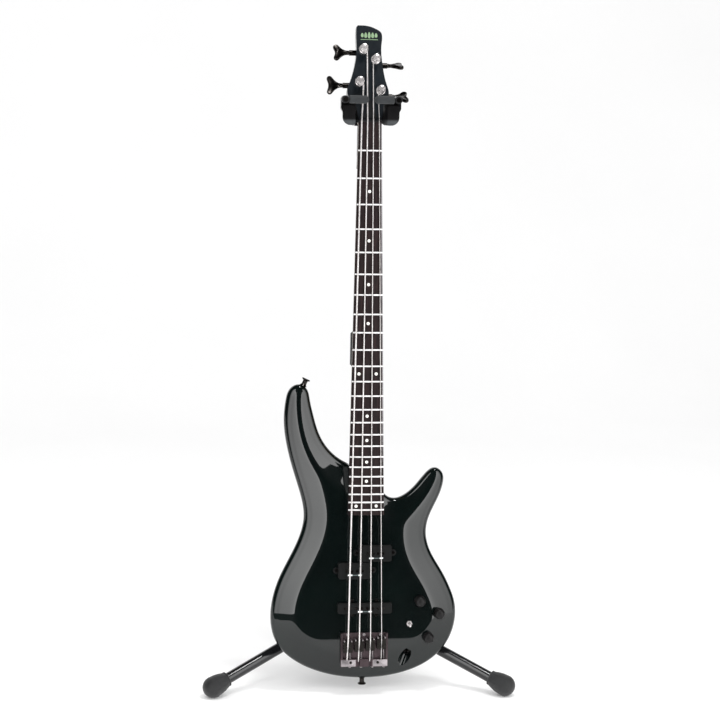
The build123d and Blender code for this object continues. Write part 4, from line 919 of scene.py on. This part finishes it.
def build_bridge_lip():
    """Pale brushed caps on the two sides of the bridge's rear lip, each with a dark screw."""
    caps, screws = [], []
    for hand in (-1, 1):
        cap = rounded_box(hand * 27.0, -909.6, 25.0, 11.4, 1.0)
        caps.append(plate(cap, LIP_TOP - 0.4, LIP_TOP + 0.25, at, 0.2))
        flat_head = [(2.4, 0), (2.4, 0.2), (1.9, 0.5), (0.4, 0.55)]
        screws.append(lathe(at(hand * 23.0, -908.5, LIP_TOP + 0.2), OUT, flat_head, 24))
    piece("bridge_caps", *joined(caps), "guitar", "zinc_steel")
    piece("bridge_cap_screws", *joined(screws), "guitar", "black_nickel")


build_bridge_lip()

NUT_WIDTH, END_WIDTH, BOARD_END, BOARD_RADIUS = 38.0, 60.6, 657.0, 305.0
EDGE_SECTION = ((-1.64, 0.09), (-0.84, 0.05), (-0.19, -0.3), (0.06, -0.95), (-0.24, -1.15))


def build_board_edge():
    """A pale strip on the rolled treble edge of the fingerboard: a painted highlight standing for the
    bright reflection along that edge.
    """
    verts, faces = [], []
    rows, sides = 40, len(EDGE_SECTION)
    for k in range(rows + 1):
        y = -2.0 - (BOARD_END - 4.0) * k / rows
        half = (NUT_WIDTH + (END_WIDTH - NUT_WIDTH) * -y / BOARD_END) / 2
        drop = BOARD_RADIUS - math.sqrt(BOARD_RADIUS**2 - half**2)
        verts += [at(half + dx, y, dh - drop) for dx, dh in EDGE_SECTION]
    for k in range(0, rows * sides, sides):
        for j in range(sides):
            n = (j + 1) % sides
            faces.append((k + j, k + n, k + sides + n, k + sides + j))
    faces += [tuple(range(sides)), tuple(range(rows * sides, rows * sides + sides))]
    # painted highlight: pale grey on the treble edge only, standing for a bright reflection along it
    look = metal("painted_edge_highlight", (0.42, 0.40, 0.42), 0.3, purity=0.2)
    piece("board_edge", verts, faces, "guitar", "rosewood", look)


build_board_edge()

# ---------------------------------------------------------------- yoke

GATE = (44.0, 35.0, 14.5)
GATE_R, GATE_TIP = 6.7, 4.6
SLOT_HALF, YOKE_HALF, ARM_REAR_HALF = 25.5, 48.0, 41.0
ARM_FRONT, ARM_BACK = 13.0, -50.0
ARM_BOTTOM, ARM_TOP, ARM_RISE = -7.0, 27.9, 4.6


def on_yoke(x, y, out):
    """World point of yoke millimetres: x across, y up from the nut, out to the front."""
    return Vector((x * MM, NUT.y - out * MM, NUT.z + y * MM))


def arm_section(out, inset, hand):
    """Outline of an arm at a depth, drawn in by an inset, as (x, y)."""
    back = (ARM_FRONT - out) / (ARM_FRONT - ARM_BACK)
    outer = YOKE_HALF + (ARM_REAR_HALF - YOKE_HALF) * back - inset * 0.7
    inner = SLOT_HALF + inset * 0.5
    rise = min(max((6.5 - out) / 3, 0.0), 1.0)
    low, high = ARM_BOTTOM + inset * 1.5, ARM_TOP + ARM_RISE * rise - inset * 0.5
    corners = (
        (outer, high, 4.0, 0), (inner, high, 5.0, 90), (inner, low, 4.5, 180), (outer, low, 13.0, 270),
    )
    points = []
    for cx, cy, r, start in corners:
        r = max(r - inset * 0.3, 1.5)
        mx = cx - r if cx == outer else cx + r
        my = cy - r if cy == high else cy + r
        for k in range(9):
            turn = math.radians(start + 90 * k / 8)
            points.append((hand * (mx + r * math.cos(turn)), my + r * math.sin(turn)))
    return points


def build_arm(hand):
    """One arm's foam: rounded ends, narrower towards the back."""
    ends = ((0.0, 6.5), (0.35, 4.6), (1.0, 3.1), (2.0, 1.9), (3.3, 0.9), (5.0, 0.25), (7.0, 0.0))
    rows = [(ARM_FRONT - t, inset) for t, inset in ends]
    rows += [(ARM_FRONT - 7 - k * (ARM_FRONT - ARM_BACK - 14) / 12, 0.0) for k in range(1, 12)]
    rows += [(ARM_BACK + t, inset * 0.6) for t, inset in reversed(ends)]
    verts, faces = [], []
    count = 36
    for row, (out, inset) in enumerate(rows):
        for k, (x, y) in enumerate(arm_section(out, inset, hand)):
            swell = 0.12 * math.sin(0.9 * row + 0.35 * k)
            verts.append(on_yoke(x - hand * abs(swell), y, out))
    for row in range(len(rows) - 1):
        for k in range(count):
            n = (k + 1) % count
            faces.append((row * count + k, row * count + n, (row + 1) * count + n, (row + 1) * count + k))
    faces.append(tuple(range(count)))
    faces.append(tuple(range((len(rows) - 1) * count, len(rows) * count)))
    return verts, faces


def arm_look():
    """Foam whose front is dark and smooth, with a paler band along its bottom: painted light standing for
    the floor's bounce on the rounded lower edge.
    """
    look = Look("arm_foam", (0.02, 0.02, 0.02), rough=0.7)
    look.shader.inputs["Specular IOR Level"].default_value = 0.15
    parts = look.node("ShaderNodeSeparateXYZ")
    look.links.new(look.coords, parts.inputs[0])
    # painted light: the band along the bottom is coloured paler to stand for light bounced up from the
    # floor
    lip = look.span(parts.outputs["Z"], 1.0, 0.0, NUT.z - 0.0005, NUT.z + 0.0035)
    dust = look.noise(60.0, 5.0, 0.65)
    dark = look.ramp(dust, [(0.3, (0.0020, 0.0018, 0.0022)), (0.75, (0.0050, 0.0044, 0.0050))])
    pale = look.ramp(dust, [(0.3, (0.040, 0.044, 0.047)), (0.75, (0.066, 0.071, 0.074))])
    look.colour(look.mix(lip, dark, pale))
    look.rough(look.span(dust, 0.55, 0.75))
    pits = look.node("ShaderNodeTexVoronoi", Scale=700.0)
    look.links.new(look.coords, pits.inputs["Vector"])
    look.bump(pits.outputs["Distance"], 0.1)
    return look.material


arms = piece("arm_padding", *joined([build_arm(-1), build_arm(1)]), "cradle", "foam_rubber", arm_look())
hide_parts("arm_foams")


def build_gate(hand, word):
    """A foam-covered gate finger with a round tip, on its hinge eye."""
    x, y, out = GATE
    profile = [(3.1, x - 6.7), (4.8, x - 6.75), (6.2, x - 7.1), (GATE_R - 0.1, x - 7.8)]
    tip = GATE_TIP + GATE_R
    count = 12
    profile += [(GATE_R - 0.06 * (k % 2), x - 8.5 + (tip - x + 8.5) * k / count) for k in range(count)]
    for degrees in range(0, 89, 11):
        turn = math.radians(degrees)
        profile.append((GATE_R * math.cos(turn), tip - GATE_R * math.sin(turn)))
    foam = lathe(on_yoke(0, y, out), (hand, 0, 0), profile, 40)
    gate = piece(f"gate_foam_{word}", *foam, f"gate_{word}", "foam_rubber")
    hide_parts(f"gate_{word}")
    eye = [(2.6, -6.9), (5.7, -6.9), (6.2, -6.4), (6.2, 6.4), (5.7, 6.9), (2.6, 6.9)]
    parts = [lathe(on_yoke(hand * x, y, out), (0, -1, 0), eye, 40)]
    parts.append(tube([on_yoke(hand * (x - 5), y, out), on_yoke(hand * (tip + 1), y, out)], 3.0, 20))
    core = piece(f"gate_eye_{word}", *joined(parts), f"gate_{word}", "black_nylon")
    sharpen(core, 40)


for side_sign, side_word in ((-1, "left"), (1, "right")):
    build_gate(side_sign, side_word)

# ---------------------------------------------------------------- rubber feet and rest pads

FOOT_REACH, FOOT_R, FOOT_LENGTH, FOOT_MOUTH_R, LEG_R = 286.0, 18.0, 29.0, 13.0, 9.5
PIVOT_REACH = 33.0


def build_foot(leg):
    """A moulded rubber foot: a rimmed mouth round the leg and a ball that stands on the floor."""
    pivot = Vector(JOINTS[f"leg_fold_{leg}"]["pos_m"])
    hinge = Vector(JOINTS[f"leg_fold_{leg}"]["axis"])
    outward = hinge.cross(Vector((0, 0, 1)))
    box_low, box_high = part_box(f"leg_foot_{leg}")
    middle = (Vector(box_low) + Vector(box_high)) / 2
    if outward.dot(middle - pivot) < 0:
        outward = -outward
    ball = pivot + outward * ((FOOT_REACH - PIVOT_REACH) * MM)
    ball.z = FOOT_R * MM
    along = (ball - pivot).normalized()
    mouth = -FOOT_LENGTH
    profile = [
        (LEG_R + 0.02, mouth + 6), (LEG_R + 0.02, mouth + 0.4), (LEG_R + 0.6, mouth),
        (FOOT_MOUTH_R - 0.8, mouth), (FOOT_MOUTH_R - 0.1, mouth + 0.5), (FOOT_MOUTH_R, mouth + 2.4),
        (FOOT_MOUTH_R - 0.45, mouth + 3.0), (FOOT_MOUTH_R - 0.1, mouth + 3.7),
    ]
    for k in range(1, 10):
        swell = math.sin(math.radians(10 * k))
        radius = FOOT_MOUTH_R + (FOOT_R - 0.4 - FOOT_MOUTH_R) * swell
        profile.append((radius, mouth + 3.7 + (FOOT_LENGTH - 7.5) * k / 9))
    for degrees in range(-8, 88, 6):
        turn = math.radians(degrees)
        profile.append((FOOT_R * math.cos(turn), FOOT_R * math.sin(turn)))

    def ribs(turn, radius, height):
        """Shallow moulded grooves along the foot."""
        groove = max(0.0, math.cos(8 * turn)) ** 24
        return radius - (0.35 * groove if -FOOT_LENGTH + 5 < height < 6 else 0)

    turned = lathe(ball, along, profile, 96, ribs)
    foot = piece(f"rubber_foot_{leg}", *turned, f"leg_{leg}", "foot_rubber")
    sharpen(foot, 50)
    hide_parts(f"leg_foot_{leg}")


for leg_name in ("front_left", "front_right", "rear"):
    build_foot(leg_name)


def build_rest_pads():
    """Foam sleeves on the bar behind the guitar."""
    low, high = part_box("rest_pads")
    y, z = (low[1] + high[1]) / 2, (low[2] + high[2]) / 2
    radius = (high[2] - low[2]) / 2 / MM
    inner, outer = 41.0, high[0] / MM
    parts = []
    for hand in (-1, 1):
        profile = [(5.0, inner + 2), (5.2, inner + 0.3), (radius - 3.2, inner)]
        profile += [(radius - 3 + 3 * math.sin(math.radians(a)), inner + 3 - 3 * math.cos(math.radians(a)))
                    for a in range(15, 91, 15)]
        profile += [(radius - 0.12 * (k % 2), inner + 3 + (outer - inner - 6) * k / 8) for k in range(1, 8)]
        profile += [(radius - 3 + 3 * math.cos(math.radians(a)), outer - 3 + 3 * math.sin(math.radians(a)))
                    for a in range(0, 91, 15)]
        profile += [(radius * 0.4, outer - 0.05), (0.5, outer - 0.1)]
        parts.append(lathe(Vector((0, y, z)), (hand, 0, 0), profile, 48))
    pads = piece("rest_sleeves", *joined(parts), "base", "foam_rubber")
    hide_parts("rest_pads")


build_rest_pads()


# ---------------------------------------------------------------- floor, lights and camera


def build_stage():
    """A seamless pale floor that curves up into a wall behind the stand."""
    near, far, wide, bend, tall = -0.82, 2.2, 5.0, 1.4, 4.6
    profile = [(near, 0.0), (far, 0.0)]
    for k in range(1, 13):
        turn = math.radians(90 * k / 12)
        profile.append((far + bend * math.sin(turn), bend * (1 - math.cos(turn))))
    profile.append((far + bend, tall))
    verts, faces = [], []
    for y, z in profile:
        verts += [(-wide, y, z), (wide, y, z)]
    for k in range(len(profile) - 1):
        faces.append((2 * k, 2 * k + 1, 2 * k + 3, 2 * k + 2))
    mesh = bpy.data.meshes.new("studio_floor")
    mesh.from_pydata(verts, [], faces)
    mesh.polygons.foreach_set("use_smooth", [True] * len(mesh.polygons))
    floor = bpy.data.objects.new("studio_floor", mesh)
    bpy.context.scene.collection.objects.link(floor)
    paper = Look("studio_paper", (0.93, 0.93, 0.93), rough=0.9)
    paper.colour(paper.ramp(paper.noise(1.4, 2.0), [(0.3, (0.92, 0.92, 0.92)), (0.7, (0.94, 0.94, 0.94))]))
    paper.shader.inputs["Specular IOR Level"].default_value = 0.0
    mesh.materials.append(paper.material)


def softbox(name, place, target, wide, tall, power, fade=0):
    """A rectangular area light facing a point, dimmer towards one side if it fades."""
    light = bpy.data.lights.new(name, "AREA")
    light.shape = "RECTANGLE"
    light.size, light.size_y = wide, tall
    light.energy = power
    if fade:
        light.use_nodes = True
        nodes, links = light.node_tree.nodes, light.node_tree.links
        split = nodes.new("ShaderNodeSeparateXYZ")
        level = nodes.new("ShaderNodeMapRange")
        level.inputs["To Min"].default_value = 0.35 if fade > 0 else 1.35
        level.inputs["To Max"].default_value = 1.35 if fade > 0 else 0.35
        links.new(nodes.new("ShaderNodeNewGeometry").outputs["Parametric"], split.inputs[0])
        links.new(split.outputs["X"], level.inputs["Value"])
        links.new(level.outputs["Result"], nodes["Emission"].inputs["Strength"])
    lamp = bpy.data.objects.new(name, light)
    bpy.context.scene.collection.objects.link(lamp)
    away = Vector(place) - Vector(target)
    lamp.visible_camera = False
    lamp.matrix_world = Matrix.Translation(place) @ away.to_track_quat("Z", "Y").to_matrix().to_4x4()
    return lamp


# How bright the room is to each kind of ray
WORLD_LEVELS = {"Is Camera Ray": 1.6, "Is Diffuse Ray": 1.0, "Is Glossy Ray": 0.02}


def light_studio():
    """A white room for the eye, a dark one for reflections, and tall softboxes near the guitar."""
    world = bpy.data.worlds.new("studio")
    bpy.context.scene.world = world
    world.use_nodes = True
    nodes, links = world.node_tree.nodes, world.node_tree.links
    back = nodes["Background"]
    back.inputs["Color"].default_value = (1, 1, 1, 1)
    path = nodes.new("ShaderNodeLightPath")
    total = None
    for ray, level in WORLD_LEVELS.items():
        step = nodes.new("ShaderNodeMath")
        step.operation = "MULTIPLY_ADD"
        step.inputs[1].default_value = level
        step.inputs[2].default_value = 0.0
        links.new(path.outputs[ray], step.inputs[0])
        if total is not None:
            links.new(total, step.inputs[2])
        total = step.outputs[0]
    links.new(total, back.inputs["Strength"])
    softbox("softbox_left", (-0.58, -1.05, 0.62), (0, -0.17, 0.55), 0.44, 1.2, 6.5, 1)
    softbox("softbox_right", (0.80, -1.055, 0.50), (0, -0.17, 0.45), 0.68, 1.5, 11.0, -1)
    softbox("softbox_spark", (0.3, -0.75, 2.3), (0, -0.15, 0.4), 0.3, 0.3, 12)


def place_camera():
    """The camera: place, turn and lens."""
    swing, tip, roll = math.radians(-7.1), math.radians(8.08), math.radians(1.11)
    back = Vector((math.sin(swing) * math.cos(tip), -math.cos(swing) * math.cos(tip), math.sin(tip)))
    level_right = Vector((math.cos(swing), math.sin(swing), 0))
    level_up = back.cross(level_right)
    right = level_right * math.cos(roll) + level_up * math.sin(roll)
    up = level_up * math.cos(roll) - level_right * math.sin(roll)
    camera = bpy.data.cameras.new("camera")
    camera.sensor_width = 36.0
    camera.lens = 90.775
    camera.clip_end = 50.0
    eye = bpy.data.objects.new("camera", camera)
    bpy.context.scene.collection.objects.link(eye)
    spin = Matrix((right, up, back)).transposed().to_4x4()
    eye.matrix_world = Matrix.Translation((-0.3834, -3.1548, 0.9972)) @ spin
    bpy.context.scene.camera = eye


build_stage()
light_studio()
place_camera()
bpy.context.scene.view_settings.view_transform = "Standard"
